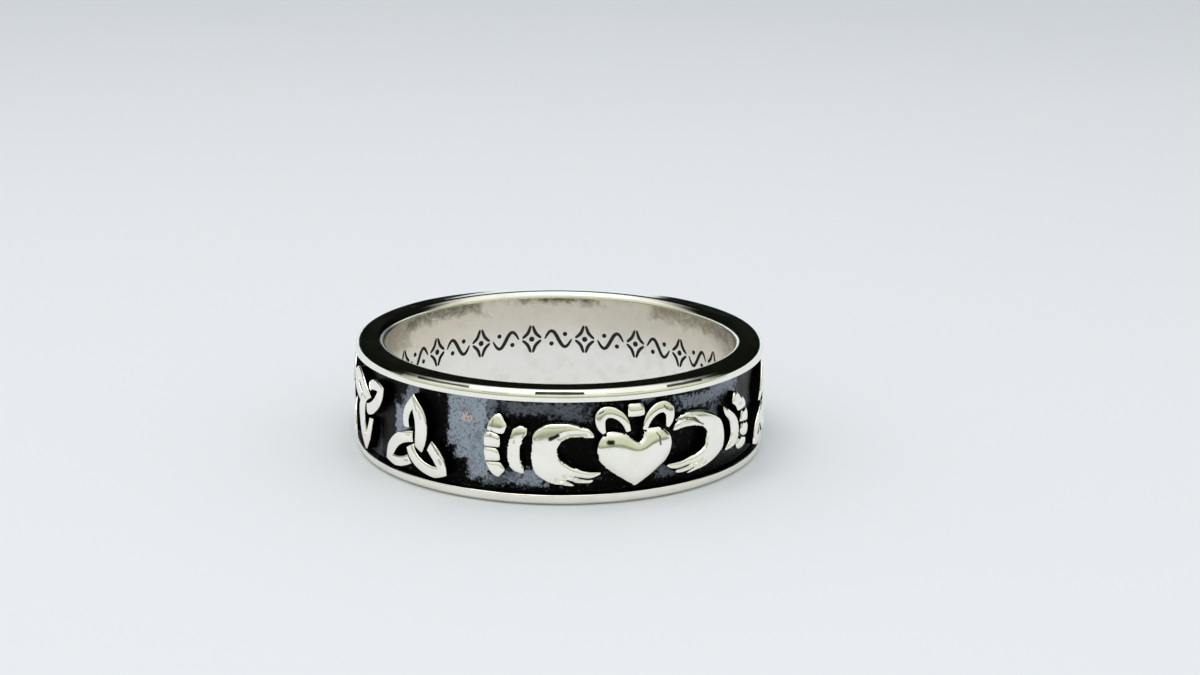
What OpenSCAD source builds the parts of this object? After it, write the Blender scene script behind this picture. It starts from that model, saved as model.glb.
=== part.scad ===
// Cast band ring with a crowned heart held by two hands, and a row of woven knots round the rest.
// The finger hole's axis is +Z, the lower rim stands on z = 0, and the heart faces -Y.
// The relief is drawn on the unrolled band and bent round it: x runs along the outer
// circumference from the heart's middle, z runs up, and h is the height above the field's floor.

/* [Band] */
// Diameter of the finger hole
bore_d = 19.3; // [15:0.1:23]
// Thickness of the wall at the rims
wall_t = 1.62; // [1.3:0.02:2.4]
// Width of the band from face to face
band_w = 6.05; // [5.85:0.05:9]
// Height of the upper rim
rim_top_h = 0.62; // [0.4:0.02:0.8]
// Height of the lower rim
rim_low_h = 0.6; // [0.4:0.02:0.8]
// Depth of the field that lies between the rims
field_d = 0.47; // [0.3:0.01:0.8]
// Rounding of the rims' outer edges
edge_out_r = 0.42; // [0.1:0.02:0.5]
// Rounding of the finger hole's two edges
edge_in_r = 0.4; // [0.1:0.02:0.5]

/* [Relief] */
// Height of the strands, crown, hands and cuffs above the field's floor
relief_h = 0.63; // [0.4:0.01:0.9]
// Depth to which the relief is rooted below the field's floor
root_d = 0.2; // [0.1:0.05:0.3]
// Width of the cuts between neighbouring forms
cut_w = 0.08; // [0.04:0.01:0.16]

/* [Heart and crown] */
// Width of the heart
heart_w = 4.1; // [3:0.02:4.6]
// Height of the heart
heart_h = 2.88; // [2.2:0.02:3]
// Height of the heart's dome above the field's floor
heart_dome_h = 0.75; // [0.5:0.01:1]
// Width of the crown
crown_w = 4.3; // [3:0.02:4.6]
// Height of the crown
crown_h = 1.4; // [1:0.02:1.5]
// How far the heart and crown together sit above the middle of the field
crown_rise = 0.08; // [0:0.01:0.15]

/* [Hands and cuffs] */
// Length of the left hand along the band, from its fingertips to its wrist
hand_l = 3.62; // [2.8:0.02:4]
// How much longer the right hand is than the left one
hand_extra_l = 0.38; // [0:0.02:0.6]
// Height of a hand
hand_h = 3.25; // [2.4:0.01:3.8]
// How far the fingertips reach in behind the heart's widest point
hand_reach = 0.26; // [0:0.01:0.35]
// How far the hands sit below the middle of the field
hand_drop = 0.3; // [0:0.01:0.4]
// Gap between a hand's wrist and the ends of its cuff band
wrist_gap = 0.12; // [0.1:0.01:0.4]
// Gap between a cuff band and its ruffle
cuff_gap = 0.36; // [0.1:0.02:0.5]
// Width of a cuff band
cuff_w = 0.74; // [0.4:0.01:0.9]
// Height of a cuff band
cuff_h = 2.48; // [1.8:0.02:3.4]
// How far the cuff bands sit below the middle of the field
cuff_drop = 0.07; // [0:0.01:0.3]
// Width of a ruffle
ruffle_w = 0.83; // [0.5:0.01:1]
// Height of a ruffle
ruffle_h = 3.2; // [2.4:0.02:4]
// How far the cuff band and the ruffle bow away from the hand
cuff_bow = 0.3; // [0:0.01:0.4]

/* [Knots] */
// Distance from a knot's centre to each of its three tips
knot_tip_r = 2.74; // [2:0.02:2.9]
// Width of a strand at its widest
strand_w = 0.79; // [0.5:0.01:0.85]
// Width of a strand at its thinnest
strand_thin_w = 0.43; // [0.3:0.01:0.7]
// Radius of a strand's curve, as a share of the distance from the centre to its turn
strand_bow = 0.9; // [0.88:0.01:0.94]
// Least distance between the centres of neighbouring knots
knot_pitch = 4.6; // [4.4:0.05:7]
// How far the knots sit below the middle of the field
knot_drop = 0.1; // [0:0.01:0.2]
// Gap between the left ruffle and the first knot beside it
knot_gap_left = 1.95; // [0.3:0.05:3]
// Gap between the right ruffle and the first knot beside it
knot_gap_right = 1; // [0.3:0.05:3]

/* [Hidden] */
$fn = 128;

// Radii and heights of the band
bore_r = bore_d / 2;
outer_r = bore_r + wall_t;
floor_r = outer_r - field_d;
field_h = band_w - rim_top_h - rim_low_h;
field_mid = rim_low_h + field_h / 2;
edge_top_r = min(edge_out_r, 0.9 * rim_top_h);
edge_low_r = min(edge_out_r, 0.9 * rim_low_h);

// Places of the heart, crown, hands and cuffs on the unrolled band
heart_z = field_mid + crown_rise - (heart_h + cut_w + crown_h) / 2;
crown_z = heart_z + heart_h + cut_w;
hand_x = heart_w / 2 - hand_reach;
hand_z = field_mid - hand_drop - hand_h / 2;
cuff_x = hand_x + hand_l + wrist_gap + cuff_w / 2;
cuff_foot = field_mid - cuff_drop - cuff_h / 2;
ruffle_x = cuff_x + cuff_w / 2 + cuff_gap + ruffle_w / 2;
ruffle_foot = field_mid - ruffle_h / 2;
figure_end_x = ruffle_x + cuff_bow + ruffle_w / 2;

// Knot geometry: the three strands are arcs, whose centres lie arc_off from the knot's centre
// and arc_lead ahead of the turns at the tips. A strand ends end_gap short of the one over it
arc_lead = 60;
arc_off_share = (1 + sqrt(4 * strand_bow * strand_bow - 3)) / 2;
turn_a = atan2(1 - arc_off_share / 2, arc_off_share * cos(30));
turn_w = (strand_w + strand_thin_w) / 2;
turn_r = knot_tip_r - turn_w / 2 / sin(turn_a);
arc_r = turn_r * strand_bow;
arc_off = turn_r * arc_off_share;
// Angle along an arc of a turn's straight side, which ends past the turn's inner corner
turn_reach = 1.5;
turn_side_a = turn_reach * turn_w / 2 / tan(turn_a) / (arc_r - turn_w / 2) * 180 / PI;
end_gap = 2.25 * cut_w;
knot_low = arc_r + strand_w / 2 - arc_off / 2;
knot_mid = (knot_tip_r - knot_low) / 2;
knot_half_w = knot_tip_r * cos(30);

// Knots fill the band from the right ruffle round the back to the left one
first_knot_x = figure_end_x + hand_extra_l + knot_gap_right + knot_half_w;
last_knot_x = 2 * PI * outer_r - figure_end_x - knot_gap_left - knot_half_w;
knot_run = last_knot_x - first_knot_x;
knot_bays = floor(knot_run / knot_pitch);
knot_step = knot_run / knot_bays;

// Cross-section of a ribbon: [place across, 1 at the edge; height, 1 at the crown]
RIBBON_SECTION = [
    [-1, 0.72],
    [-0.65, 0.93],
    [0, 1],
    [0.65, 0.93],
    [1, 0.72]
];

// Side view of a strand: [place along, 0 where it comes out to 1 beside its turn; width from
// thin to wide; height]
STRAND_OUT = [
    [0, 0, 0.76],
    [0.36, 0, 0.88],
    [0.7, 0.1, 0.95],
    [1, 0.2, 0.97]
];
STRAND_TURN_H = 0.97;
// The same from 0 beside the turn, over the crossing strand, to 1 where it goes under the next
STRAND_BACK = [
    [0, 0.8, 0.97],
    [0.15, 0.97, 0.97],
    [0.31, 1, 0.98],
    [0.47, 1, 1],
    [0.65, 0.92, 1],
    [0.83, 0.75, 0.94],
    [1, 0.5, 0.8]
];
// Widths of a knot's three strands from thin to wide: [where it comes out; where it crosses over]
STRAND_SHARES = [
    [0, 1],
    [0.62, 0.48],
    [0.3, 0.6]
];

// Right half of the heart's outline from notch to tip: [share of half the width; share of height]
HEART_HALF = [
    [0, 0.82],
    [0.08, 0.84],
    [0.17, 0.91],
    [0.27, 0.98],
    [0.42, 1],
    [0.64, 1],
    [0.77, 0.965],
    [0.9, 0.87],
    [0.99, 0.75],
    [0.99, 0.62],
    [0.91, 0.465],
    [0.73, 0.325],
    [0.49, 0.195],
    [0.22, 0.078],
    [0.07, 0.014],
    [0, 0]
];
HEART_MIDDLE = 0.6;
// Rise of the heart's dome: [share of the outline; share of the dome's height]
HEART_DOME = [
    [1, 0.6],
    [0.94, 0.76],
    [0.78, 0.89],
    [0.55, 0.96],
    [0.28, 0.99]
];

// Right loop of the crown from its outer foot to its inner foot: [share of half the crown's
// width; share of its height; width as a share of its height]
CROWN_LOOP = [
    [0.793, -0.03, 0.16],
    [0.84, 0.12, 0.27],
    [0.87, 0.28, 0.34],
    [0.878, 0.425, 0.38],
    [0.85, 0.58, 0.45],
    [0.755, 0.7, 0.43],
    [0.612, 0.7, 0.4],
    [0.486, 0.622, 0.365],
    [0.362, 0.475, 0.325],
    [0.27, 0.27, 0.27],
    [0.225, 0.09, 0.215],
    [0.207, -0.02, 0.18]
];
// Centre jewel of the crown, as shares of the crown's width and height
JEWEL_W = 0.222;
JEWEL_FOOT = 0.46;
JEWEL_SIDES = 16;
JEWEL_SQUARE = 0.5;
JEWEL_DOME = [
    [1, 0.55],
    [0.8, 0.85],
    [0.45, 1]
];

// Hand from thumb to fingers: [outer edge along; outer edge up; inner edge along; inner edge up;
// height; depth of the thumb's crease], shares of the hand's length, height and relief
HAND_ROWS = [
    [0.13, 0.85, 0.108, 0.755, 0.6, 0],
    [0.2, 0.89, 0.19, 0.757, 0.85, 0.15],
    [0.31, 0.955, 0.3, 0.762, 0.95, 0.25],
    [0.48, 1, 0.41, 0.754, 1, 0.22],
    [0.66, 0.99, 0.5, 0.73, 1, 0.12],
    [0.81, 0.935, 0.565, 0.685, 1, 0],
    [0.925, 0.83, 0.61, 0.635, 1, 0],
    [0.98, 0.66, 0.627, 0.575, 1, 0],
    [1, 0.475, 0.618, 0.49, 1, 0],
    [0.975, 0.3, 0.575, 0.405, 1, 0],
    [0.9, 0.175, 0.5, 0.34, 1, 0],
    [0.77, 0.085, 0.41, 0.295, 0.98, 0],
    [0.62, 0.025, 0.31, 0.25, 0.92, 0]
];
// Section of a hand, from its outer to its inner edge, with the thumb's crease and the fingers'
// cuts between the crowns: [place across; height; share of the thumb's crease]
HAND_SECTION = [
    [0, 0.68, 0],
    [0.125, 0.89, 0],
    [0.25, 0.96, 0],
    [0.375, 0.99, 0],
    [0.5, 1, 0],
    [0.625, 0.99, 0.3],
    [0.75, 0.96, 1],
    [0.875, 0.89, 0],
    [1, 0.68, 0]
];
// Ends of the fingers and of the cuts between them, outer to inner: [along; up; height]
FINGER_ENDS = [
    [0.5, 0, 0.45],
    [0.34, -0.005, 0.45],
    [0.475, 0.08, -0.15],
    [0.15, 0.045, 0.45],
    [0.12, 0.085, 0.45],
    [0.373, 0.137, -0.15],
    [0.09, 0.125, 0.5],
    [0, 0.195, 0.5],
    [0.15, 0.215, 0.45]
];

// Cuff band from bottom to top: [place up; width; height]
CUFF_ROWS = [
    [0, 0.5, 0.8],
    [0.06, 0.82, 0.95],
    [0.2, 0.97, 1],
    [0.5, 1, 1],
    [0.75, 1.04, 1],
    [0.9, 1.07, 0.97],
    [1, 0.62, 0.8]
];
// Ruffle's puffs from bottom to top: each one's lower end as a share of the ruffle's height
RUFFLE_ENDS = [0, 0.24, 0.47, 0.68, 1];
// One puff, from its lower to its upper end: [place; width; height]
PUFF_ROWS = [
    [0, 0.88, 0.8],
    [0.2, 1, 0.98],
    [0.75, 1, 0.98],
    [1, 0.88, 0.8]
];
// The same for the topmost puff, which narrows towards its top
TOP_PUFF_ROWS = [
    [0, 1, 0.8],
    [0.2, 1.12, 0.98],
    [0.5, 1, 1],
    [0.8, 0.68, 0.95],
    [1, 0.3, 0.75]
];

function mix(a, b, t) = a + (b - a) * t;

// A point [x, z, h] of the unrolled band, bent round the finger
function bend(p) =
    let (r = floor_r + p[2], a = p[0] / outer_r * 180 / PI)
    [r * sin(a), -r * cos(a), p[1]];

// Point at t on the curve from b to c that leaves and arrives in line with a and d
function curve_point(a, b, c, d, t) =
    0.5 * (2 * b + (c - a) * t + (2 * a - 5 * b + 4 * c - d) * t * t
        + (3 * b - a - 3 * c + d) * t * t * t);

// Rows of a table with steps curved rows made between each two
function smooth_rows(rows, steps) =
    let (last = len(rows) - 1)
    [
        for (i = [0 : last - 1], s = [0 : steps - 1])
            curve_point(rows[max(i - 1, 0)], rows[i], rows[i + 1], rows[min(i + 2, last)], s / steps),
        rows[last]
    ];

// Two triangles between neighbouring rings of n points, for each of their sides
function wall_faces(count, n) =
    [
        for (i = [0 : count - 2], j = [0 : n - 1])
            let (a = i * n + j, b = i * n + (j + 1) % n)
            each [[a, b, b + n], [a, b + n, a + n]]
    ];

// Triangles across a ring of n points, zigzag from its first and last point to its middle
function end_faces(n) =
    [
        for (j = [0 : floor(n / 2) - 2])
            each [[j, n - 1 - j, j + 1], [j + 1, n - 1 - j, n - 2 - j]],
        if (n % 2 == 1)
            [(n - 3) / 2, (n + 1) / 2, (n - 1) / 2]
    ];

// Solid through closed rings of points, with flat ends
module loft(rings) {
    n = len(rings[0]);
    last = (len(rings) - 1) * n;
    first_end = end_faces(n);
    last_end = [for (f = first_end) [last + f[0], last + f[2], last + f[1]]];
    points = [for (ring = rings, p = ring) bend(p)];
    polyhedron(points, concat(first_end, last_end, wall_faces(len(rings), n)));
}

// Solid through closed rings of points that rise to one point, with a fan below the first ring
module dome(rings, foot, top) {
    n = len(rings[0]);
    count = len(rings);
    last = (count - 1) * n;
    foot_i = count * n;
    top_i = foot_i + 1;
    foot_fan = [for (j = [0 : n - 1]) [foot_i, (j + 1) % n, j]];
    top_fan = [for (j = [0 : n - 1]) [top_i, last + j, last + (j + 1) % n]];
    points = concat([for (ring = rings, p = ring) bend(p)], [bend(foot), bend(top)]);
    polyhedron(points, concat(foot_fan, top_fan, wall_faces(count, n)));
}

// Raised strip along rows of [x, z, half width along x, half width along z, height]
module ribbon(rows) {
    loft([
        for (row = rows)
            [
                for (c = RIBBON_SECTION)
                    [row[0] + c[0] * row[2], row[1] + c[0] * row[3], relief_h * row[4] * c[1]],
                [row[0] + row[2], row[1] + row[3], -root_d],
                [row[0] - row[2], row[1] - row[3], -root_d]
            ]
    ]);
}

// Quarter of a square's corner that lies outside its rounding
module edge_cut(r) {
    difference() {
        translate([-r, -r])
            square(2 * r);
        translate([r, r])
            circle(r);
    }
}

// Half section of the band, to the right of the finger hole's axis
module band_section() {
    difference() {
        translate([bore_r, 0])
            square([wall_t, band_w]);
        translate([floor_r, rim_low_h])
            square([2 * field_d, field_h]);
        translate([bore_r, 0])
            edge_cut(edge_in_r);
        translate([bore_r, band_w])
            mirror([0, 1])
                edge_cut(edge_in_r);
        translate([outer_r, 0])
            mirror([1, 0])
                edge_cut(edge_low_r);
        translate([outer_r, band_w])
            rotate(180)
                edge_cut(edge_top_r);
    }
}

module band() {
    rotate_extrude()
        band_section();
}

module heart() {
    half = [for (p = smooth_rows(HEART_HALF, 2)) [p[0] * heart_w / 2, p[1] * heart_h]];
    last = len(half) - 1;
    outline = concat(half, [for (i = [last - 1 : -1 : 1]) [-half[i][0], half[i][1]]]);
    middle = HEART_MIDDLE * heart_h;
    rings = concat([[1, -root_d]], [for (d = HEART_DOME) [d[0], d[1] * heart_dome_h]]);
    dome(
        [
            for (d = rings)
                [for (p = outline) [p[0] * d[0], heart_z + mix(middle, p[1], d[0]), d[1]]]
        ],
        [0, heart_z + middle, -root_d],
        [0, heart_z + middle, heart_dome_h]
    );
}

// Rows of a ribbon along a spine of [x, z, width, height]
function spine_rows(spine) =
    let (last = len(spine) - 1)
    [
        for (i = [0 : last])
            let (
                ahead = spine[min(i + 1, last)],
                behind = spine[max(i - 1, 0)],
                run = [ahead[0] - behind[0], ahead[1] - behind[1]],
                side = [-run[1], run[0]] / norm(run) * spine[i][2] / 2
            )
            [spine[i][0], spine[i][1], side[0], side[1], spine[i][3]]
    ];

module crown_loop() {
    rows = smooth_rows(CROWN_LOOP, 2);
    ribbon(spine_rows([
        for (r = rows)
            [r[0] * crown_w / 2, crown_z + r[1] * crown_h, r[2] * crown_h, 0.95]
    ]));
}

// Sine or cosine of a circle's point, pushed out towards a square
function squarer(v) = sign(v) * pow(abs(v), JEWEL_SQUARE);

module crown_jewel() {
    half_w = JEWEL_W * crown_w / 2;
    foot = crown_z + JEWEL_FOOT * crown_h;
    tall = (1 - JEWEL_FOOT) * crown_h;
    rings = concat([[1, -root_d]], [for (d = JEWEL_DOME) [d[0], d[1] * relief_h]]);
    arch = [
        for (i = [0 : JEWEL_SIDES - 1])
            let (a = -360 * i / JEWEL_SIDES - 11.25)
            [half_w * squarer(cos(a)), tall * (1 + squarer(sin(a))) / 2]
    ];
    dome(
        [for (d = rings) [for (p = arch) [p[0] * d[0], foot + mix(tall / 2, p[1], d[0]), d[1]]]],
        [0, foot + tall / 2, -root_d],
        [0, foot + tall / 2, relief_h]
    );
}

module crown() {
    crown_loop();
    mirror([1, 0, 0])
        crown_loop();
    crown_jewel();
}

// Right hand, open towards the heart: one closed sheet from the thumb round to the fingertips
module hand(long) {
    palm = [
        for (row = HAND_ROWS)
            [
                for (c = HAND_SECTION)
                    [
                        hand_x + mix(row[0], row[2], c[0]) * long,
                        hand_z + mix(row[1], row[3], c[0]) * hand_h,
                        relief_h * row[4] * (c[1] - row[5] * c[2])
                    ]
            ]
    ];
    tips = [
        for (f = FINGER_ENDS)
            [hand_x + f[0] * long, hand_z + f[1] * hand_h, relief_h * f[2]]
    ];
    top = concat(palm, [tips]);
    loft([
        for (row = top)
            concat([for (p = row) [p[0], p[1], -root_d]], [for (i = [len(row) - 1 : -1 : 0]) row[i]])
    ]);
}

// Distance of a cuff's or ruffle's middle line from its end line, at place t of its height
function bow(t) = cuff_bow * (1 - pow(2 * t - 1, 2));

module cuff(shift) {
    ribbon(spine_rows([
        for (c = CUFF_ROWS)
            [shift + cuff_x + bow(c[0]), cuff_foot + c[0] * cuff_h, c[1] * cuff_w, c[2]]
    ]));
}

module ruffle(shift) {
    top = len(RUFFLE_ENDS) - 1;
    for (i = [1 : top]) {
        low = RUFFLE_ENDS[i - 1] * ruffle_h + cut_w / 2;
        high = RUFFLE_ENDS[i] * ruffle_h - cut_w / 2;
        ribbon(spine_rows([
            for (c = i == top ? TOP_PUFF_ROWS : PUFF_ROWS)
                let (z = mix(low, high, c[0]))
                [shift + ruffle_x + bow(z / ruffle_h), ruffle_foot + z, c[1] * ruffle_w, c[2]]
        ]));
    }
}

// Unit vector at angle a, turned clockwise by k thirds of a turn
function third_turn(a, k) = [cos(a - 120 * k), sin(a - 120 * k)];

// Width of strand k, w of the way from where it comes out to where it crosses over
function strand_width(k, w) =
    let (shares = STRAND_SHARES[k % 3])
    mix(strand_thin_w, strand_w, mix(shares[0], shares[1], w));

// Angle along an arc that strand k hides where it crosses over
function hidden_angle(k) = (strand_width(k, 1) / 2 + end_gap) / arc_r * 180 / PI;

// Row of a strand of a given width, at angle a of arc k
function strand_row(k, a, width, h) =
    let (
        out = third_turn(a, k),
        p = arc_off * third_turn(90 + arc_lead, k) + arc_r * out,
        side = out * width / 2
    )
    [p[0], p[1], side[0], side[1], h];

// One of a knot's three strands: out from under one, round its turn, over one and under the next
function strand(k) =
    let (
        turn = third_turn(90, k),
        first_a = -turn_a - hidden_angle(k + 2),
        turn_in_a = turn_side_a - turn_a - arc_lead,
        turn_out_a = turn_a - turn_side_a,
        last_a = hidden_angle(k + 1) - turn_a
    )
    [
        for (s = STRAND_OUT)
            strand_row(k + 1, mix(first_a, turn_in_a, s[0]), strand_width(k, s[1]), s[2]),
        [
            turn_r * turn[0],
            turn_r * turn[1],
            turn[0] * turn_w / 2 / sin(turn_a),
            turn[1] * turn_w / 2 / sin(turn_a),
            STRAND_TURN_H
        ],
        for (s = STRAND_BACK)
            strand_row(k, mix(turn_out_a, last_a, s[0]), strand_width(k, s[1]), s[2])
    ];

// Knot with one tip up, or one tip down if way is -1
module knot(way) {
    middle = field_mid - knot_drop;
    for (k = [0 : 2])
        ribbon([
            for (row = strand(k))
                [way * row[0], middle + way * (row[1] - knot_mid), way * row[2], way * row[3], row[4]]
        ]);
}

module knots() {
    for (i = [0 : knot_bays])
        rotate((first_knot_x + i * knot_step) / outer_r * 180 / PI)
            knot(i % 2 == 0 ? 1 : -1);
}

module ring() {
    color("silver") {
        band();
        heart();
        crown();
        for (side = [0, 1]) {
            extra = (1 - side) * hand_extra_l;
            mirror([side, 0, 0]) {
                hand(hand_l + extra);
                cuff(extra);
                ruffle(extra);
            }
        }
        knots();
    }
}

ring();
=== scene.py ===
import math

import bmesh
import bpy
import numpy as np
from mathutils import Matrix, Vector
from mathutils.geometry import delaunay_2d_cdt


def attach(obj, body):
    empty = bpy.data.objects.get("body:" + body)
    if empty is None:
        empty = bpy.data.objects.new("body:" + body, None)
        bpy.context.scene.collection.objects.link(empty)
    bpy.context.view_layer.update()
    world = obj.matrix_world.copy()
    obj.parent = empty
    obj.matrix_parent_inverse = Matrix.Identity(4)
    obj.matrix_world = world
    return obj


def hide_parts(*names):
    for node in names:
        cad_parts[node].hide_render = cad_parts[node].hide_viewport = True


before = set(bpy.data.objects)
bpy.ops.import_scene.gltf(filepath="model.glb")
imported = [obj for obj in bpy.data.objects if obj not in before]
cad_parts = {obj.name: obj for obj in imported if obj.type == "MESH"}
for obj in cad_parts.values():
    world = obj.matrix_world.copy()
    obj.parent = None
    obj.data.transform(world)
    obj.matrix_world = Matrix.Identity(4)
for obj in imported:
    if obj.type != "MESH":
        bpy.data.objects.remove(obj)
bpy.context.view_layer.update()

MM = 0.001
NODE = "ring"

# Sizes as in the part's source, in mm; STRAND_BOW is a ratio and KNOT_BAYS a count
BORE_R = 9.65
WALL_T = 1.62
BAND_W = 6.05
RIM_TOP_H = 0.62
RIM_LOW_H = 0.6
FIELD_D = 0.47
EDGE_OUT_R = 0.42
EDGE_IN_R = 0.4
RELIEF_H = 0.63
ROOT_D = 0.2
CUT_W = 0.08
HEART_DOME_H = 0.75
CROWN_W = 4.3
CROWN_H = 1.4
CROWN_Z = 3.875
KNOT_TIP_R = 2.74
STRAND_W = 0.79
STRAND_THIN_W = 0.43
STRAND_BOW = 0.9
KNOT_BAYS = 10
KNOT_DROP = 0.1
FIRST_KNOT_X = 11.51
LAST_KNOT_X = -12.08

OUTER_R = BORE_R + WALL_T
FLOOR_R = OUTER_R - FIELD_D
FIELD_H = BAND_W - RIM_TOP_H - RIM_LOW_H
FIELD_MID = RIM_LOW_H + FIELD_H / 2

# Knots: the centres of the strands' arcs lie ARC_OFF from the knot's centre, ARC_LEAD degrees ahead
# of the turns at its tips. A strand ends END_GAP short of the one over it.
ARC_LEAD = 60
TURN_REACH = 1.5
ARC_OFF_SHARE = (1 + math.sqrt(4 * STRAND_BOW ** 2 - 3)) / 2
TURN_A = math.degrees(math.atan2(1 - ARC_OFF_SHARE / 2, ARC_OFF_SHARE * math.cos(math.radians(30))))
TURN_W = (STRAND_W + STRAND_THIN_W) / 2
TURN_SIN = math.sin(math.radians(TURN_A))
TURN_R = KNOT_TIP_R - TURN_W / 2 / TURN_SIN
ARC_R = TURN_R * STRAND_BOW
ARC_OFF = TURN_R * ARC_OFF_SHARE
TURN_SIDE = TURN_REACH * TURN_W / 2 / math.tan(math.radians(TURN_A))
TURN_SIDE_A = math.degrees(TURN_SIDE / (ARC_R - TURN_W / 2))
END_GAP = 2.25 * CUT_W
KNOT_LOW = ARC_R + STRAND_W / 2 - ARC_OFF / 2
KNOT_MID = (KNOT_TIP_R - KNOT_LOW) / 2
KNOT_STEP = (2 * math.pi * OUTER_R + LAST_KNOT_X - FIRST_KNOT_X) / KNOT_BAYS

# The camera of the photograph; its places are in mm
CAM_LENS = 53.424
CAM_SENSOR = 36.0
CAM_CLIP = (0.005, 20.0)
CAM_DIST = 100.22
CAM_ELEVATION = math.radians(14.957)
CAM_ROLL = math.radians(-0.7246)
CAM_AZIMUTH = math.radians(-21.35)
CAM_ASIDE = 2.218
CAM_UP = 5.607


def new_object(name, data):
    obj = bpy.data.objects.new(name, data)
    bpy.context.scene.collection.objects.link(obj)
    return obj


def make_camera():
    right = Vector((1, 0, 0))
    ahead = Vector((0, math.cos(CAM_ELEVATION), -math.sin(CAM_ELEVATION)))
    up = Vector((0, math.sin(CAM_ELEVATION), math.cos(CAM_ELEVATION)))
    place = (right * CAM_ASIDE + up * CAM_UP - ahead * CAM_DIST) * MM
    side = right * math.cos(CAM_ROLL) - up * math.sin(CAM_ROLL)
    top = right * math.sin(CAM_ROLL) + up * math.cos(CAM_ROLL)
    axes = Matrix((side, top, -ahead)).transposed().to_4x4()
    turn = Matrix.Rotation(CAM_AZIMUTH, 4, "Z")
    data = bpy.data.cameras.new("camera")
    data.lens, data.sensor_width, data.sensor_fit = CAM_LENS, CAM_SENSOR, "HORIZONTAL"
    data.clip_start, data.clip_end = CAM_CLIP
    cam = new_object("camera", data)
    cam.matrix_world = turn @ Matrix.Translation(place) @ axes
    bpy.context.scene.camera = cam


make_camera()


# Mesh tools

# Steepest angle between two faces of the relief that still shades smoothly, in degrees
RELIEF_SHARP = 38.0
# Least divisor, and the distance within which two points of an outline are one
TINY = 1e-9
SAME_POINT = 1e-7
# Free space inside a pillow's outline, as a share of its points' spacing
FREE_SHARE = 0.6
OUTLINE_STEPS = 2


def bend(points):
    """Points [x, z, h] in mm of the unrolled band, bent round the finger, in metres."""
    p = np.asarray(points, float)
    r = (FLOOR_R + p[:, 2]) * MM
    a = p[:, 0] / OUTER_R
    return np.stack([r * np.sin(a), -r * np.cos(a), p[:, 1] * MM], axis=1)


def curve_rows(rows, steps):
    """Rows of a table with steps curved rows between each two."""
    rows = np.asarray(rows, float)
    last = len(rows) - 1
    out = []
    for i in range(last):
        a, b, c, d = rows[max(i - 1, 0)], rows[i], rows[i + 1], rows[min(i + 2, last)]
        for s in range(steps):
            t = s / steps
            out.append(0.5 * (2 * b + (c - a) * t + (2 * a - 5 * b + 4 * c - d) * t * t
                              + (3 * b - a - 3 * c + d) * t ** 3))
    out.append(rows[last])
    return np.array(out)


class Relief:
    """Closed shells drawn on the unrolled band, gathered into one mesh: slot 0 the tops, 1 the walls."""

    def __init__(self):
        self.points, self.faces, self.slots = [], [], []

    def add(self, points, faces, slots, way=1.0, turn=0.0, roll=None):
        """way -1 mirrors the shell to the left of the heart, and turn shifts it round the band, in mm.

        roll is the height from which the top leans back, how fast it does, and how much higher
        that starts away from the heart's middle.
        """
        p = np.array(points, float)
        if roll is not None:
            start, rate, smile = roll
            over = np.maximum(p[:, 1] - start - smile * p[:, 0] ** 2, 0)
            p[:, 2] -= np.where(p[:, 2] > 0, 0.5 * rate * over ** 2, 0)
        p[:, 0] = p[:, 0] * way + turn
        first = sum(len(q) for q in self.points)
        self.points.append(p)
        self.faces += [[first + i for i in f] for f in faces]
        self.slots += slots

    def build(self, name, sharp=RELIEF_SHARP):
        points = bend(np.concatenate(self.points))
        return finish_mesh(name, points, self.faces, [MAT_RELIEF, MAT_WALL], sharp, self.slots)


def finish_mesh(name, points, faces, materials, sharp=RELIEF_SHARP, slots=None):
    data = bpy.data.meshes.new(name)
    data.from_pydata([tuple(p) for p in points], [], faces)
    for m in materials:
        data.materials.append(m)
    if slots is not None:
        data.polygons.foreach_set("material_index", slots)
    obj = new_object(name, data)
    settle(obj, sharp)
    return obj


def settle(obj, sharp):
    """Normals outward, smooth shading, and edges steeper than sharp degrees kept crisp."""
    bm = bmesh.new()
    bm.from_mesh(obj.data)
    bmesh.ops.recalc_face_normals(bm, faces=bm.faces)
    limit = math.radians(sharp)
    for f in bm.faces:
        f.smooth = True
    for e in bm.edges:
        e.smooth = len(e.link_faces) == 2 and e.calc_face_angle(0.0) < limit
    bm.to_mesh(obj.data)
    bm.free()


def loft(rings):
    """Points, faces and slots of a closed shell through rings whose last two points are the foot."""
    count, n = len(rings), len(rings[0])
    points = np.concatenate(rings)
    faces, slots = [], []
    for i in range(count - 1):
        for j in range(n):
            a, b = i * n + j, i * n + (j + 1) % n
            faces.append([a, b, b + n, a + n])
            slots.append(0 if j < n - 3 else 1)
    faces.append(list(range(n)))
    faces.append([(count - 1) * n + j for j in range(n)])
    return points, faces, slots + [1, 1]


def round_section(count, edge, bulge, lift):
    """Crowned cross-section from edge to edge: rows [place across, share of the height]."""
    rows = []
    for i in range(count):
        a = math.pi * (1 - i / (count - 1))
        c, s = math.cos(a), max(math.sin(a), 0.0)
        rows.append([math.copysign(abs(c) ** bulge, c), edge + (1 - edge) * s ** lift])
    return np.array(rows)


STRIP_SECTION = round_section(count=19, edge=0.8, bulge=0.9, lift=0.5)


def ribbon(rows, section=STRIP_SECTION, height=RELIEF_H):
    """Raised strip along rows of [x, z, half width along x, half width along z, height share]."""
    rings = []
    for x, z, wx, wz, h in rows:
        ring = [[x + s * wx, z + s * wz, height * h * t] for s, t in section]
        ring += [[x + wx, z + wz, -ROOT_D], [x - wx, z - wz, -ROOT_D]]
        rings.append(np.array(ring))
    return loft(rings)


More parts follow.
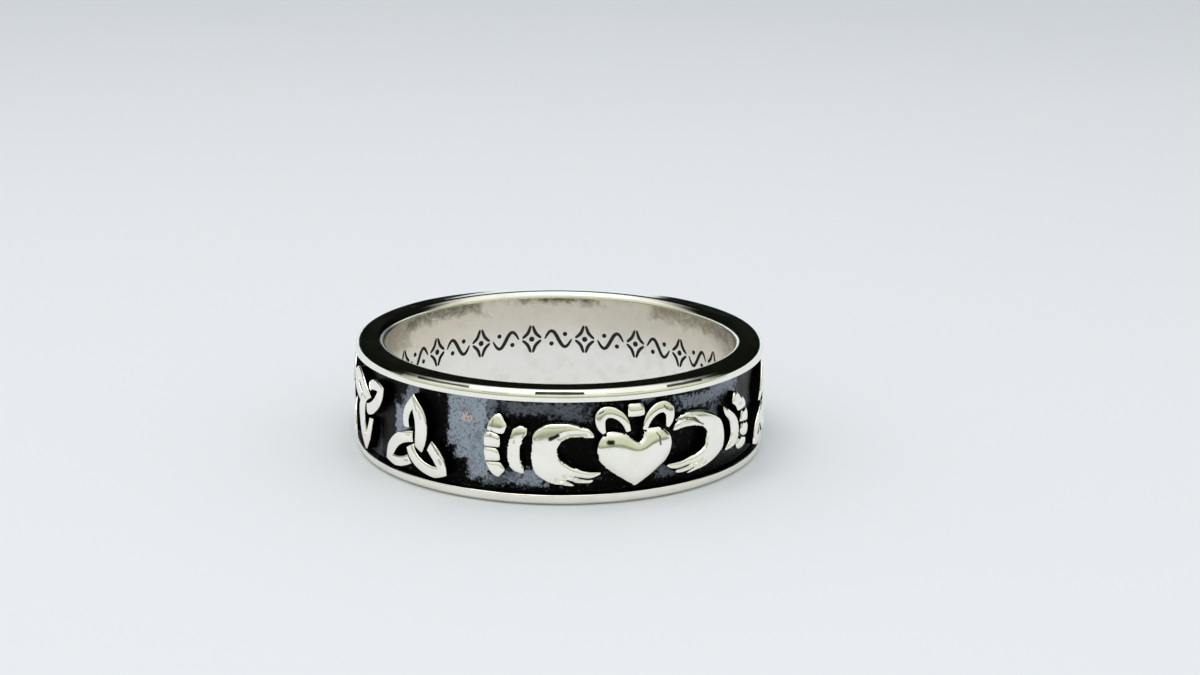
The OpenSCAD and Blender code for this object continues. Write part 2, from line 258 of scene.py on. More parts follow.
def spine_rows(spine):
    """Rows of a ribbon along a spine of [x, z, width, height share]."""
    spine = np.asarray(spine, float)
    last = len(spine) - 1
    rows = []
    for i, (x, z, w, h) in enumerate(spine):
        run = spine[min(i + 1, last), :2] - spine[max(i - 1, 0), :2]
        side = np.array([-run[1], run[0]]) / np.linalg.norm(run) * w / 2
        rows.append([x, z, side[0], side[1], h])
    return rows


def inside(points, outline):
    x, z = points[:, 0][:, None], points[:, 1][:, None]
    x0, z0 = outline[:, 0], outline[:, 1]
    x1, z1 = np.roll(x0, -1), np.roll(z0, -1)
    over = (z0 > z) != (z1 > z)
    slope = np.where(z1 == z0, TINY, z1 - z0)
    return (over & (x < (x1 - x0) * (z - z0) / slope + x0)).sum(1) % 2 == 1


def line_distance(points, line, closed=False):
    """Distance of each point from a polyline, and how far along it the nearest point lies, 0 to 1."""
    line = np.asarray(line, float)
    if closed:
        line = np.vstack([line, line[:1]])
    best = np.full(len(points), np.inf)
    along = np.zeros(len(points))
    for i in range(len(line) - 1):
        d = line[i + 1] - line[i]
        t = np.clip(((points - line[i]) @ d) / max(d @ d, TINY), 0, 1)
        gap = np.linalg.norm(points - (line[i] + t[:, None] * d), axis=1)
        nearer = gap < best
        best[nearer] = gap[nearer]
        along[nearer] = (i + t[nearer]) / (len(line) - 1)
    return best, along


def even_outline(outline, spacing):
    """The outline with points added so that no side is longer than spacing."""
    out = []
    for a, b in zip(outline, np.roll(outline, -1, axis=0)):
        n = max(1, math.ceil(np.linalg.norm(b - a) / spacing))
        out += [a + (b - a) * i / n for i in range(n)]
    return np.array(out)


def membrane(flat, triangles, edge_count):
    """Height of a loaded membrane held at its edge, by finite elements; 0 at the edge, 1 at most."""
    n = len(flat)
    stiff, load = np.zeros((n, n)), np.zeros(n)
    for t in triangles:
        p = flat[t]
        sides = [p[2] - p[1], p[0] - p[2], p[1] - p[0]]
        area = abs(sides[0][0] * sides[1][1] - sides[0][1] * sides[1][0]) / 2
        load[t] += area / 3
        for i in range(3):
            for j in range(3):
                stiff[t[i], t[j]] += sides[i] @ sides[j] / (4 * max(area, TINY))
    u = np.zeros(n)
    u[edge_count:] = np.linalg.solve(stiff[edge_count:, edge_count:], load[edge_count:])
    return u


def pillow(outline, spacing, height_of):
    """Points, faces and slots of a closed shell over an outline.

    height_of(flat points, membrane height) gives the height of its top.
    """
    edge = even_outline(np.asarray(outline, float), spacing)
    lo, hi = edge.min(0), edge.max(0)
    rows = np.arange(lo[1], hi[1], spacing * math.sin(math.pi / 3))
    grid = [
        (x + (i % 2) * spacing / 2, z)
        for i, z in enumerate(rows)
        for x in np.arange(lo[0], hi[0], spacing)
    ]
    grid = np.array(grid)
    grid = grid[inside(grid, edge)]
    grid = grid[line_distance(grid, edge, closed=True)[0] > spacing * FREE_SHARE]
    points = np.vstack([edge, grid])
    n = len(edge)
    flat, _, triangles, _, _, _ = delaunay_2d_cdt(
        [Vector(p) for p in points], [], [list(range(n))], 1, SAME_POINT)
    if len(flat) != len(points):
        raise RuntimeError(f"outline crosses itself: {len(points)} points became {len(flat)}")
    flat = np.array([tuple(p) for p in flat])
    heights = height_of(flat, membrane(flat, triangles, n))
    top = np.column_stack([flat, heights])
    foot = np.column_stack([flat[:n], np.full(n, -ROOT_D)])
    first = len(top)
    faces = [list(t) for t in triangles]
    slots = [0] * len(faces) + [1] * (n + 1)
    faces += [[i, (i + 1) % n, first + (i + 1) % n, first + i] for i in range(n)]
    faces.append([first + i for i in range(n)])
    return np.vstack([top, foot]), faces, slots


def steep_rise(u, steep, shoulder):
    """Height from 0 to 1 over a membrane u: steep at the outline, then a slow rise to the middle."""
    return steep * (1 - np.exp(-u / shoulder)) + (1 - steep) * (u / u.max()) ** 0.5


# Materials
class Nodes:
    """Shorthand for a material's or world's node tree."""

    def __init__(self, tree):
        self.tree = tree
        tree.nodes.clear()

    def new(self, kind, **values):
        node = self.tree.nodes.new(kind)
        for key, value in values.items():
            setattr(node, key, value)
        return node

    def put(self, socket, value):
        if isinstance(value, bpy.types.NodeSocket):
            self.tree.links.new(value, socket)
        else:
            socket.default_value = value

    def fill(self, node, *values, **named):
        """Sets or links a node's first inputs in turn and others by name, with _ for a space."""
        for i, value in enumerate(values):
            self.put(node.inputs[i], value)
        for key, value in named.items():
            self.put(node.inputs[key.replace("_", " ")], value)

    def math(self, operation, *values):
        node = self.new("ShaderNodeMath", operation=operation)
        self.fill(node, *values)
        return node.outputs[0]

    def add(self, a, b):
        return self.math("ADD", a, b)

    def sub(self, a, b):
        return self.math("SUBTRACT", a, b)

    def mul(self, a, b):
        return self.math("MULTIPLY", a, b)

    def most(self, a, b):
        return self.math("MAXIMUM", a, b)

    def least(self, a, b):
        return self.math("MINIMUM", a, b)

    def step(self, value, low, high, start=0.0, end=1.0):
        """Smooth step of a value from start to end."""
        node = self.new("ShaderNodeMapRange", interpolation_type="SMOOTHSTEP")
        self.fill(node, value, low, high, start, end)
        return node.outputs[0]

    def mix(self, share, a, b):
        node = self.new("ShaderNodeMix", data_type="RGBA")
        self.fill(node, Factor=share, A=a, B=b)
        return node.outputs["Result"]

    def noise(self, vector, scale, detail, rough, seed):
        node = self.new("ShaderNodeTexNoise", noise_dimensions="4D")
        self.fill(node, Vector=vector, Scale=scale, Detail=detail, Roughness=rough, W=seed)
        return node.outputs["Fac"]

    def bump(self, height, strength, depth, normal=None):
        """Normals of a bumpy surface; depth is in mm, and normal is the surface under it."""
        node = self.new("ShaderNodeBump")
        self.fill(node, Height=height, Strength=strength, Distance=depth * MM)
        if normal is not None:
            self.fill(node, Normal=normal)
        return node.outputs["Normal"]


# Noises, on points in mm except on the table and in the studio: scale, detail, roughness, seed
RELIEF_CLOUD = (1.3, 3.0, 0.5, 2.0)
RELIEF_WOBBLE = (5.0, 2.0, 0.5, 5.0)
RELIEF_DENTS = (2.2, 2.0, 0.5, 7.0)
WALL_SOOT = (4.0, 3.0, 0.6, 6.0)
RIM_STREAK = (1.0, 3.0, 0.6, 3.0)
RIM_LONG_STREAK = (1.0, 3.0, 0.6, 8.0)
RIM_CLOUD = (0.9, 3.0, 0.55, 4.0)
BORE_CLOUD = (0.45, 4.0, 0.55, 11.0)
BORE_FINE = (3.4, 4.0, 0.62, 12.0)
BORE_SPOTS = (1.3, 4.0, 0.65, 13.0)
FIELD_COARSE = (1.1, 4.0, 0.6, 21.0)
FIELD_FINE = (7.5, 4.0, 0.62, 22.0)
FIELD_PITS = (4.2, 3.0, 0.6, 24.0)
INK_CLOUD = (5.0, 3.0, 0.6, 31.0)
TABLE_CLOUD = (14.0, 3.0, 0.5, 41.0)
TABLE_GRAIN = (2600.0, 2.0, 0.5, 42.0)
STUDIO_CLOUD = (5.0, 4.0, 0.6, 51.0)


def place_nodes(n):
    """The surface point in mm, and its cylinder coordinates: radius, angle from the heart, height."""
    coord = n.new("ShaderNodeTexCoord")
    scale = n.new("ShaderNodeVectorMath", operation="SCALE")
    n.fill(scale, coord.outputs["Object"], Scale=1 / MM)
    split = n.new("ShaderNodeSeparateXYZ")
    n.fill(split, scale.outputs[0])
    x, y, z = split.outputs
    radius = distance(n, x, y)
    angle = n.mul(n.math("ARCTAN2", x, n.mul(y, -1.0)), 180 / math.pi)
    return scale.outputs[0], radius, angle, z


def stretched(n, radius, angle, z, along, across):
    """Coordinates whose noise runs in long streaks round the band."""
    node = n.new("ShaderNodeCombineXYZ")
    n.fill(node, n.mul(angle, along), n.mul(z, across), n.mul(radius, across))
    return node.outputs[0]


def material(build):
    """A new material whose Principled shader build(n, shader) sets up, under build's name."""
    m = bpy.data.materials.new(build.__name__)
    m.use_nodes = True
    n = Nodes(m.node_tree)
    shader = n.new("ShaderNodeBsdfPrincipled")
    out = n.new("ShaderNodeOutputMaterial")
    n.fill(out, Surface=shader.outputs[0])
    build(n, shader)
    return m


# Colours, roughnesses from polished to dull, and the table's finish
SILVER = (0.985, 0.96, 0.885, 1)
SILVER_DIM = (0.93, 0.91, 0.83, 1)
BLACK = (0.0045, 0.0045, 0.004, 1)
SOOT = (0.018, 0.019, 0.018, 1)
WORN = (0.37, 0.415, 0.485, 1)
WORN_DARK = (0.10, 0.115, 0.145, 1)
COPPER = (0.66, 0.53, 0.48, 1)
COPPER_DARK = (0.20, 0.12, 0.09, 1)
# Dark of the relief's stains and the rims' grime, also used for the painted reflections on the upper rim
STAIN_AND_REFLECTION_DARK = (0.02, 0.024, 0.016, 1)
BORE_PALE = (1.0, 0.985, 0.955, 1)
BORE_CREAM = (0.91, 0.85, 0.76, 1)
BORE_DULL = (0.70, 0.63, 0.54, 1)
TARNISH_BROWN = (0.30, 0.245, 0.185, 1)
TARNISH_GREEN = (0.085, 0.085, 0.05, 1)
INK = (0.004, 0.005, 0.005, 1)
INK_PALE = (0.016, 0.018, 0.018, 1)
TABLE_DIM = (0.785, 0.808, 0.822, 1)
TABLE_PALE = (0.815, 0.832, 0.842, 1)

RELIEF_ROUGHNESS = (0.06, 0.12)
RIM_ROUGHNESS = (0.05, 0.1)
WALL_ROUGHNESS = 0.45
BORE_ROUGHNESS = 0.26
FIELD_ROUGHNESS = 0.42
INK_ROUGHNESS = 0.55
TABLE_ROUGHNESS = 0.62
TABLE_SHINE = 0.25
TABLE_BUMP = (0.08, 0.02)


def centred(n, value, reach):
    """A noise from 0 to 1 as one of the given reach round 0."""
    return n.math("MULTIPLY_ADD", value, reach, -reach / 2)


def place_along(n, angle):
    """Distance along the band from the heart's middle, in mm."""
    return n.mul(angle, math.radians(1) * OUTER_R)


def distance(n, dx, dz):
    """Length of the side that the legs dx and dz span."""
    return n.math("SQRT", n.add(n.mul(dx, dx), n.mul(dz, dz)))


# Shares of a stroke's width at which its full tone ends and its soft edge ends
STREAK_CORE = 0.25
STREAK_RIM = 0.75


def streak_mask(n, x, z, start, end, width):
    """1 on a stroke from start to end, 0 away from it."""
    run = (end[0] - start[0], end[1] - start[1])
    length = math.hypot(*run)
    ax, az = n.sub(x, start[0]), n.sub(z, start[1])
    c, s = run[0] / length, run[1] / length
    along = n.add(n.mul(ax, c), n.mul(az, s))
    across = n.add(n.mul(ax, s), n.mul(az, -c))
    over = n.sub(along, n.least(n.most(along, 0.0), length))
    gap = distance(n, over, across)
    return n.step(gap, width * STREAK_CORE, width * STREAK_RIM, 1.0, 0.0)


# Dark stains and creases on the relief: start along and up, end along and up in mm, width, strength
STAINS = [
    [-1.45, 3.33, -1.28, 3.33, 0.24, 1.0],
    [-1.5, 3.26, -1.2, 3.25, 0.12, 0.7],
    [1.12, 3.58, 1.27, 3.36, 0.07, 0.75],
    [1.27, 3.36, 1.27, 3.0, 0.11, 0.8],
    [0.05, 3.13, 0.17, 3.12, 0.07, 0.4],
    [-4.4, 3.56, -4.02, 3.74, 0.19, 1.0],
    [-4.9, 4.07, -3.6, 4.13, 0.05, 0.25],
    [-3.5, 3.74, -2.6, 3.77, 0.06, 0.3],
    [-1.95, 4.83, -1.74, 4.96, 0.07, 0.9],
    [1.55, 4.93, 1.72, 4.72, 0.09, 0.75],
    [0.2, 5.15, 0.42, 4.9, 0.05, 0.45],
    [2.3, 3.86, 2.62, 3.96, 0.08, 0.6],
    [2.62, 3.96, 3.1, 4.03, 0.08, 0.6],
    [3.1, 4.03, 3.55, 3.94, 0.08, 0.65],
    [3.55, 3.94, 3.85, 3.66, 0.11, 0.85],
    [3.85, 3.66, 4.1, 3.52, 0.09, 0.6],
    [2.4, 3.72, 3.3, 3.78, 0.05, 0.3],
    [-7.3, 4.38, -7.35, 4.05, 0.1, 0.45],
    [-7.38, 3.85, -7.42, 3.55, 0.09, 0.5],
    [-5.68, 3.82, -5.78, 3.6, 0.09, 0.5],
    [-6.2, 3.4, -6.22, 3.3, 0.12, 0.3],
    [7.15, 3.92, 7.4, 3.9, 0.16, 0.2],
    [-12.02, 4.75, -11.75, 4.2, 0.09, 0.45],
    [-11.6, 4.2, -11.45, 3.85, 0.09, 0.4],
    [-10.85, 2.66, -10.35, 2.15, 0.1, 0.5],
    [-10.3, 1.85, -10.2, 1.7, 0.18, 0.4],
    [-10.05, 2.0, -9.83, 1.45, 0.1, 0.5],
    [-12.75, 1.34, -12.55, 1.35, 0.09, 0.5],
    [-12.55, 2.78, -12.3, 2.8, 0.08, 0.35],
]

# How far the stains' edges wander in mm, noise levels between which the silver dims and its polish
# dulls, how much rougher a stain is, strength and depth of the dents, noise levels of the soot
STAIN_WANDER = 0.12
RELIEF_DIM = (0.4, 0.7)
RELIEF_DULL = (0.3, 0.7)
STAIN_ROUGHER = 0.2
RELIEF_BUMP = (0.3, 0.015)
SOOT_LEVELS = (0.5, 0.8)


def relief_silver(n, shader):
    """Polished tops of the relief with a few dark stains."""
    mm, _, angle, z = place_nodes(n)
    cloud = n.noise(mm, *RELIEF_CLOUD)
    x = place_along(n, angle)
    wobble = n.mul(n.sub(n.noise(mm, *RELIEF_WOBBLE), 0.5), STAIN_WANDER)
    x, high = n.add(x, wobble), n.sub(z, wobble)
    tone = n.mix(n.step(cloud, *RELIEF_DIM), SILVER, SILVER_DIM)
    stain = 0.0
    for x0, z0, x1, z1, width, strength in STAINS:
        mark = n.mul(streak_mask(n, x, high, (x0, z0), (x1, z1), width), strength)
        stain = n.most(mark, stain)
    polish = n.step(cloud, *RELIEF_DULL, *RELIEF_ROUGHNESS)
    n.fill(shader, Base_Color=n.mix(stain, tone, STAIN_AND_REFLECTION_DARK), Metallic=1.0,
           Roughness=n.math("MULTIPLY_ADD", stain, STAIN_ROUGHER, polish),
           Normal=n.bump(n.noise(mm, *RELIEF_DENTS), *RELIEF_BUMP))


def relief_wall(n, shader):
    """Blackened sides of the relief."""
    mm = place_nodes(n)[0]
    soot = n.step(n.noise(mm, *WALL_SOOT), *SOOT_LEVELS)
    n.fill(shader, Base_Color=n.mix(soot, BLACK, SOOT), Metallic=1.0, Roughness=WALL_ROUGHNESS)


# Painted reflections of dark surroundings on the upper rim's rounded edge, drawn as dark dashes: start
# and end in degrees from the heart, height and width in mm, strength
PAINTED_RIM_REFLECTIONS = [
    [-26.0, -14.0, 5.9, 0.125, 1.0],
    [-60.0, -44.0, 5.93, 0.09, 0.9],
    [9.0, 20.0, 5.9, 0.11, 0.95],
    [-75.0, -66.0, 5.86, 0.08, 0.7],
    [-40.0, -33.0, 5.8, 0.035, 0.45],
    [-8.0, 2.0, 5.83, 0.03, 0.4],
    [-50.0, 30.0, 5.72, 0.03, 0.35],
]


# Grime on the finger hole's rounded edge: its middle in degrees from the heart, how far from there
# it is full and gone, and how dark it is
GRIME_MIDDLE = -97.0
GRIME_REACH = (18.0, 38.0)
GRIME_SHARE = 0.9
# Share of the rounded edge's reach where it starts to fade
GRIME_SOFT = 0.75
# How fast two streak noises run along and across the rims, how far the painted reflections' edges
# wander in mm, noise levels between which the silver dims and dulls, strength and depth of waves and
# streaks
RIM_STREAK_RUN = (0.05, 26.0)
RIM_LONG_STREAK_RUN = (0.12, 5.0)
PAINTED_REFLECTION_WANDER = 0.08
RIM_DIM = (0.35, 0.75)
RIM_DULL = (0.3, 0.7)
RIM_WAVES = (0.3, 0.04)
RIM_STREAKS = (0.16, 0.01)


def rim_silver(n, shader):
    """Polished rims with fine streaks round the band, and painted reflections as dark dashes on the
    rounded edge.
    """
    mm, radius, angle, z = place_nodes(n)
    streak = n.noise(stretched(n, radius, angle, z, *RIM_STREAK_RUN), *RIM_STREAK)
    long_place = stretched(n, radius, angle, z, *RIM_LONG_STREAK_RUN)
    long_streak = n.noise(long_place, *RIM_LONG_STREAK)
    cloud = n.noise(mm, *RIM_CLOUD)
    x = place_along(n, angle)
    high = n.add(z, centred(n, long_streak, PAINTED_REFLECTION_WANDER))
    dark = 0.0
    # Painted reflections: dark dashes that stand in for dark surroundings mirrored in the rounded edge
    for start, end, level, width, strength in PAINTED_RIM_REFLECTIONS:
        first, last = (math.radians(a) * OUTER_R for a in (start, end))
        painted_reflection = streak_mask(n, x, high, (first, level), (last, level), width)
        dark = n.most(n.mul(painted_reflection, strength), dark)
    dark = n.mul(dark, n.math("GREATER_THAN", radius, OUTER_R - EDGE_OUT_R))
    inner = n.step(radius, BORE_R + EDGE_IN_R * GRIME_SOFT, BORE_R + EDGE_IN_R, GRIME_SHARE, 0.0)
    away = n.math("ABSOLUTE", n.sub(angle, GRIME_MIDDLE))
    dark = n.most(n.mul(inner, n.step(away, *GRIME_REACH, 1.0, 0.0)), dark)
    tone = n.mix(n.step(cloud, *RIM_DIM), SILVER, SILVER_DIM)
    low = n.bump(cloud, *RIM_WAVES)
    # Base colour darkened by the painted reflections and by the grime
    n.fill(shader, Base_Color=n.mix(dark, tone, STAIN_AND_REFLECTION_DARK), Metallic=1.0,
           Roughness=n.step(cloud, *RIM_DULL, *RIM_ROUGHNESS),
           Normal=n.bump(streak, *RIM_STREAKS, low))


# Tarnish under the bore's upper edge: from and to angle, lower end in mm, how dark, share of green
TARNISH = [
    [78, 126, 4.75, 0.75, 0.0],
    [145, 178, 5.25, 1.0, 1.0],
    [188, 228, 4.9, 0.85, 0.7],
    [222, 246, 3.9, 0.45, 0.2],
]

# How far the cream's lower edge wanders and the heights over which it sets in, in mm; noise levels
# and share of the dull spots
CREAM_WANDER = 2.0
CREAM_RISE = (2.3, 4.3)
DULL_LEVELS = (0.48, 0.62)
DULL_SHARE = 0.2
# Tarnish: how far its edge wanders in mm with the fine noise and the spots, share of that, how many
# mm a degree counts for, where its edge fades, its mottling, how much rougher it is
FINE_WANDER = 1.2
SPOTS_WANDER = 2.6
TARNISH_WANDER = 0.6
TARNISH_DEGREE = 0.12
TARNISH_EDGE = (-0.45, 0.15)
TARNISH_MOTTLE = (0.3, 0.6, 0.45, 1.0)
TARNISH_ROUGHER = 0.12
# Strength and depth of the bore's waves and grain
BORE_WAVES = (0.2, 0.03)
BORE_GRAIN = (0.04, 0.012)


def bore_silver(n, shader):
    """Inner wall: soft satin silver, creamy above, with patches of tarnish below the upper edge."""
    mm, _, angle, z = place_nodes(n)
    round_angle = n.math("MODULO", n.add(angle, 360.0), 360.0)
    cloud = n.noise(mm, *BORE_CLOUD)
    fine = n.noise(mm, *BORE_FINE)
    spots = n.noise(mm, *BORE_SPOTS)
    high = n.step(n.add(z, centred(n, cloud, CREAM_WANDER)), *CREAM_RISE)
    pale = n.mix(high, BORE_PALE, BORE_CREAM)
    tone = n.mix(n.mul(n.step(spots, *DULL_LEVELS), DULL_SHARE), pale, BORE_DULL)
    rag = n.add(centred(n, fine, FINE_WANDER), centred(n, spots, SPOTS_WANDER))
    dark, green = 0.0, 0.0
    for start, end, low, amount, leaf in TARNISH:
        middle, half = (start + end) / 2, (end - start) / 2
        off = n.sub(n.math("ABSOLUTE", n.sub(round_angle, middle)), half)
        off = n.mul(off, TARNISH_DEGREE)
        below = n.sub(low, z)
        gap = n.add(n.most(off, below), n.mul(rag, TARNISH_WANDER))
        mark = n.step(gap, *TARNISH_EDGE, amount, 0.0)
        dark = n.most(mark, dark)
        green = n.most(n.mul(mark, leaf), green)
    brown = n.mix(green, TARNISH_BROWN, TARNISH_GREEN)
    share = n.mul(dark, n.step(fine, *TARNISH_MOTTLE))
    low = n.bump(cloud, *BORE_WAVES)
    n.fill(shader, Base_Color=n.mix(share, tone, brown), Metallic=1.0,
           Roughness=n.math("MULTIPLY_ADD", dark, TARNISH_ROUGHER, BORE_ROUGHNESS),
           Normal=n.bump(fine, *BORE_GRAIN, low))


# Worn places of the field: middle along and up in mm, half length, half height, how worn
WORN_PLACES = [
    [-8.95, 4.1, 1.15, 1.45, 1.0],
    [-8.75, 3.0, 0.95, 1.0, 1.0],
    [-8.3, 2.1, 0.6, 1.05, 1.0],
    [-7.7, 4.9, 0.5, 0.6, 0.45],
    [-4.8, 4.95, 2.3, 0.3, 0.3],
    [-3.2, 4.6, 0.9, 0.25, 0.25],
    [-13.5, 3.2, 0.62, 0.8, 1.0],
    [-13.0, 4.1, 0.45, 0.5, 0.75],
    [-12.55, 5.05, 0.45, 0.45, 0.6],
    [-5.45, 1.35, 0.75, 0.45, 0.9],
    [-7.5, 1.15, 0.5, 0.3, 0.5],
    [-6.4, 1.35, 0.4, 0.3, 0.6],
    [4.4, 4.75, 1.5, 0.35, 0.55],
    [6.3, 4.95, 1.3, 0.45, 0.7],
    [5.5, 3.9, 0.35, 0.3, 0.45],
    [2.0, 1.35, 0.5, 0.35, 0.3],
    [0.9, 5.2, 0.3, 0.14, 0.6],
    [8.9, 3.1, 0.5, 0.3, 0.55],
    [8.7, 1.75, 0.45, 0.05, 0.9],
    [8.2, 1.45, 0.35, 0.04, 0.8],
    [9.6, 2.2, 0.2, 0.06, 0.7],
    [-16.2, 1.5, 0.4, 1.0, 0.3],
    [19.0, 3.0, 1.6, 1.8, 0.9],
    [26.5, 3.4, 1.0, 1.5, 0.8],
    [-27.0, 2.6, 1.3, 1.8, 0.8],
    [-21.5, 3.6, 0.8, 1.4, 0.7],
]
# How far a worn place's edge wanders in mm with the pits and the fine noise, share of that, and how
# soft it is; faint wear elsewhere; the mottling by two noises; how much rougher wear is
PITS_WANDER = 1.5
GRIT_WANDER = 0.6
WORN_WANDER = 0.75
WORN_EDGE = (-0.12, 0.12)
FAINT_LEVELS = (0.56, 0.7)
FAINT_SHARES = (0.4, 0.6, 0.02, 0.2)
MOTTLE_FINE = (0.5, 0.64, 0.0, 0.85)
MOTTLE_COARSE = (0.52, 0.66, 0.0, 0.55)
WORN_ROUGHER = 0.1
# Coppery spot: its middle in mm, how much wider than high it is, how far its edge wanders, and
# where its rim and its dark core fade
COPPER_X = -9.0
COPPER_Z = 4.22
COPPER_WIDER = 1.2
COPPER_WANDER = 1.3
COPPER_RIM = (0.2, 0.34, 0.9, 0.0)
COPPER_CORE = (0.0, 0.1, 0.9, 0.0)
# Strength and depth of the field's waves and grain
FIELD_WAVES = (0.4, 0.05)
FIELD_GRAIN = (0.5, 0.03)


def field_black(n, shader):
    """Sunk ground: black oxide with worn blue-grey patches and a small coppery spot."""
    mm, _, angle, z = place_nodes(n)
    coarse = n.noise(mm, *FIELD_COARSE)
    fine = n.noise(mm, *FIELD_FINE)
    pits = n.noise(mm, *FIELD_PITS)
    x = place_along(n, angle)
    ragged = n.add(centred(n, pits, PITS_WANDER), centred(n, fine, GRIT_WANDER))
    worn = 0.0
    for along, up, half_x, half_z, amount in WORN_PLACES:
        dx = n.mul(n.sub(x, along), 1 / half_x)
        dz = n.mul(n.sub(z, up), 1 / half_z)
        far = n.most(n.math("ABSOLUTE", dx), n.math("ABSOLUTE", dz))
        gap = n.mul(n.sub(far, 1.0), min(half_x, half_z))
        patch = n.step(n.add(gap, n.mul(ragged, WORN_WANDER)), *WORN_EDGE, amount, 0.0)
        worn = n.most(patch, worn)
    faint = n.mul(n.step(pits, *FAINT_LEVELS), n.step(coarse, *FAINT_SHARES))
    share = n.most(worn, faint)
    mottle = n.most(n.step(fine, *MOTTLE_FINE), n.step(coarse, *MOTTLE_COARSE))
    colour = n.mix(share, BLACK, n.mix(mottle, WORN, WORN_DARK))
    dx = n.sub(x, COPPER_X)
    dz = n.mul(n.sub(z, COPPER_Z), COPPER_WIDER)
    gap = distance(n, dx, dz)
    torn = n.math("MULTIPLY_ADD", n.sub(fine, 0.5), COPPER_WANDER, gap)
    spot = n.step(torn, *COPPER_RIM)
    core = n.step(torn, *COPPER_CORE)
    low = n.bump(coarse, *FIELD_WAVES)
    n.fill(shader, Base_Color=n.mix(core, n.mix(spot, colour, COPPER), COPPER_DARK), Metallic=1.0,
           Roughness=n.math("MULTIPLY_ADD", share, WORN_ROUGHER, FIELD_ROUGHNESS),
           Normal=n.bump(fine, *FIELD_GRAIN, low))


def engraved_black(n, shader):
    """Black filling of the engraving."""
    mm = place_nodes(n)[0]
    n.fill(shader, Base_Color=n.mix(n.noise(mm, *INK_CLOUD), INK, INK_PALE), Roughness=INK_ROUGHNESS)


def table_white(n, shader):
    """Pale table top with a trace of unevenness."""
    place = n.new("ShaderNodeTexCoord").outputs["Object"]
    tone = n.mix(n.noise(place, *TABLE_CLOUD), TABLE_DIM, TABLE_PALE)
    n.fill(shader, Base_Color=tone, Roughness=TABLE_ROUGHNESS, Specular_IOR_Level=TABLE_SHINE,
           Normal=n.bump(n.noise(place, *TABLE_GRAIN), *TABLE_BUMP))


MAT_RELIEF = material(relief_silver)
MAT_WALL = material(relief_wall)
MAT_RIM = material(rim_silver)
MAT_BORE = material(bore_silver)
MAT_FIELD = material(field_black)
MAT_ENGRAVED = material(engraved_black)
MAT_TABLE = material(table_white)


# Band
AROUND = 480
# Steepest angle between the band's faces that still shades smoothly, in degrees
BAND_SHARP = 50.0
# The upper rim's flat top leans outward at the back, between two angles from the heart. Towards the
# outer edge the lean starts later and ends sooner, by two more angles.
LEAN_START = math.radians(118)
LEAN_END = math.radians(210)
LEAN_LATER = math.radians(8)
LEAN_SOONER = math.radians(37)
LEAN_FADE = math.radians(14)
LEAN_SLOPE = 0.1
LEAN_FROM_R = BORE_R + EDGE_IN_R
LEAN_STEPS = 12
TOP_ROWS = 8
# Steps of the arcs at the band's inner edges, outer edges and in the corners of the field, and rows
# of the field's floor and the bore
EDGE_IN_STEPS = 10
EDGE_OUT_STEPS = 12
CORNER_STEPS = 4
FLOOR_ROWS = 30
BORE_ROWS = 14
RIM_SHOULDER_R = 0.07
FLOOR_FILLET_R = 0.1


def arc(r, z, radius, start, end, count):
    """Points of an arc round [r, z]; angles in degrees, 0 towards the outside and 90 up."""
    return [
        [r + radius * math.cos(math.radians(start + (end - start) * i / count)),
         z + radius * math.sin(math.radians(start + (end - start) * i / count))]
        for i in range(count + 1)
    ]


def line(a, b, count):
    """Points strictly between a and b."""
    dr, dz = b[0] - a[0], b[1] - a[1]
    return [[a[0] + dr * i / count, a[1] + dz * i / count] for i in range(1, count)]


def band_profile():
    """Closed half section as rows [r, z, slot of the face that starts there]: 0 rim, 1 bore, 2 field."""
    low, high = RIM_LOW_H, RIM_LOW_H + FIELD_H
    s, f = RIM_SHOULDER_R, FLOOR_FILLET_R
    rows = []

    def run(points, slot):
        rows.extend([[p[0], p[1], slot] for p in points])

    run(arc(BORE_R + EDGE_IN_R, EDGE_IN_R, EDGE_IN_R, 180, 270, EDGE_IN_STEPS), 0)
    run(arc(OUTER_R - EDGE_OUT_R, EDGE_OUT_R, EDGE_OUT_R, -90, 0, EDGE_OUT_STEPS), 0)
    run(arc(OUTER_R - s, low - s, s, 0, 90, CORNER_STEPS), 0)
    rows[-1][2] = 2
    run(arc(FLOOR_R + f, low + f, f, 270, 180, CORNER_STEPS), 2)
    run(line([FLOOR_R, low + f], [FLOOR_R, high - f], FLOOR_ROWS), 2)
    run(arc(FLOOR_R + f, high - f, f, 180, 90, CORNER_STEPS), 2)
    run(arc(OUTER_R - s, high + s, s, 270, 360, CORNER_STEPS), 0)
    run(arc(OUTER_R - EDGE_OUT_R, BAND_W - EDGE_OUT_R, EDGE_OUT_R, 0, 90, EDGE_OUT_STEPS), 0)
    run(line([OUTER_R - EDGE_OUT_R, BAND_W], [BORE_R + EDGE_IN_R, BAND_W], TOP_ROWS), 0)
    run(arc(BORE_R + EDGE_IN_R, BAND_W - EDGE_IN_R, EDGE_IN_R, 90, 180, EDGE_IN_STEPS), 0)
    rows[-1][2] = 1
    run(line([BORE_R, BAND_W - EDGE_IN_R], [BORE_R, EDGE_IN_R], BORE_ROWS), 1)
    return rows


# Unevenness of the cast ground: number of waves, range of their turns round the band, their
# steepest slope across it in radians per mm, one round in radians, what their sum is divided by
WAVES = 26
WAVE_TURNS = (3, 90)
WAVE_RATE = 4.5
WAVE_ROUND = 6.28
WAVE_SUM = 5
GROUND_WAVE_D = 0.008
GROUND_SEED = 5
ON_GROUND = 0.001


def waviness(angle, z, seed):
    """Small uneven height of a cast surface, -1 to 1, the same all round the seam."""
    total = np.zeros_like(angle)
    random = np.random.RandomState(seed)
    for k in range(WAVES):
        turns = random.randint(*WAVE_TURNS)
        rate = random.uniform(-WAVE_RATE, WAVE_RATE)
        share = math.sin(random.uniform(0, WAVE_ROUND))
        total += share * np.sin(turns * angle + rate * z + random.uniform(0, WAVE_ROUND))
    return total / WAVE_SUM


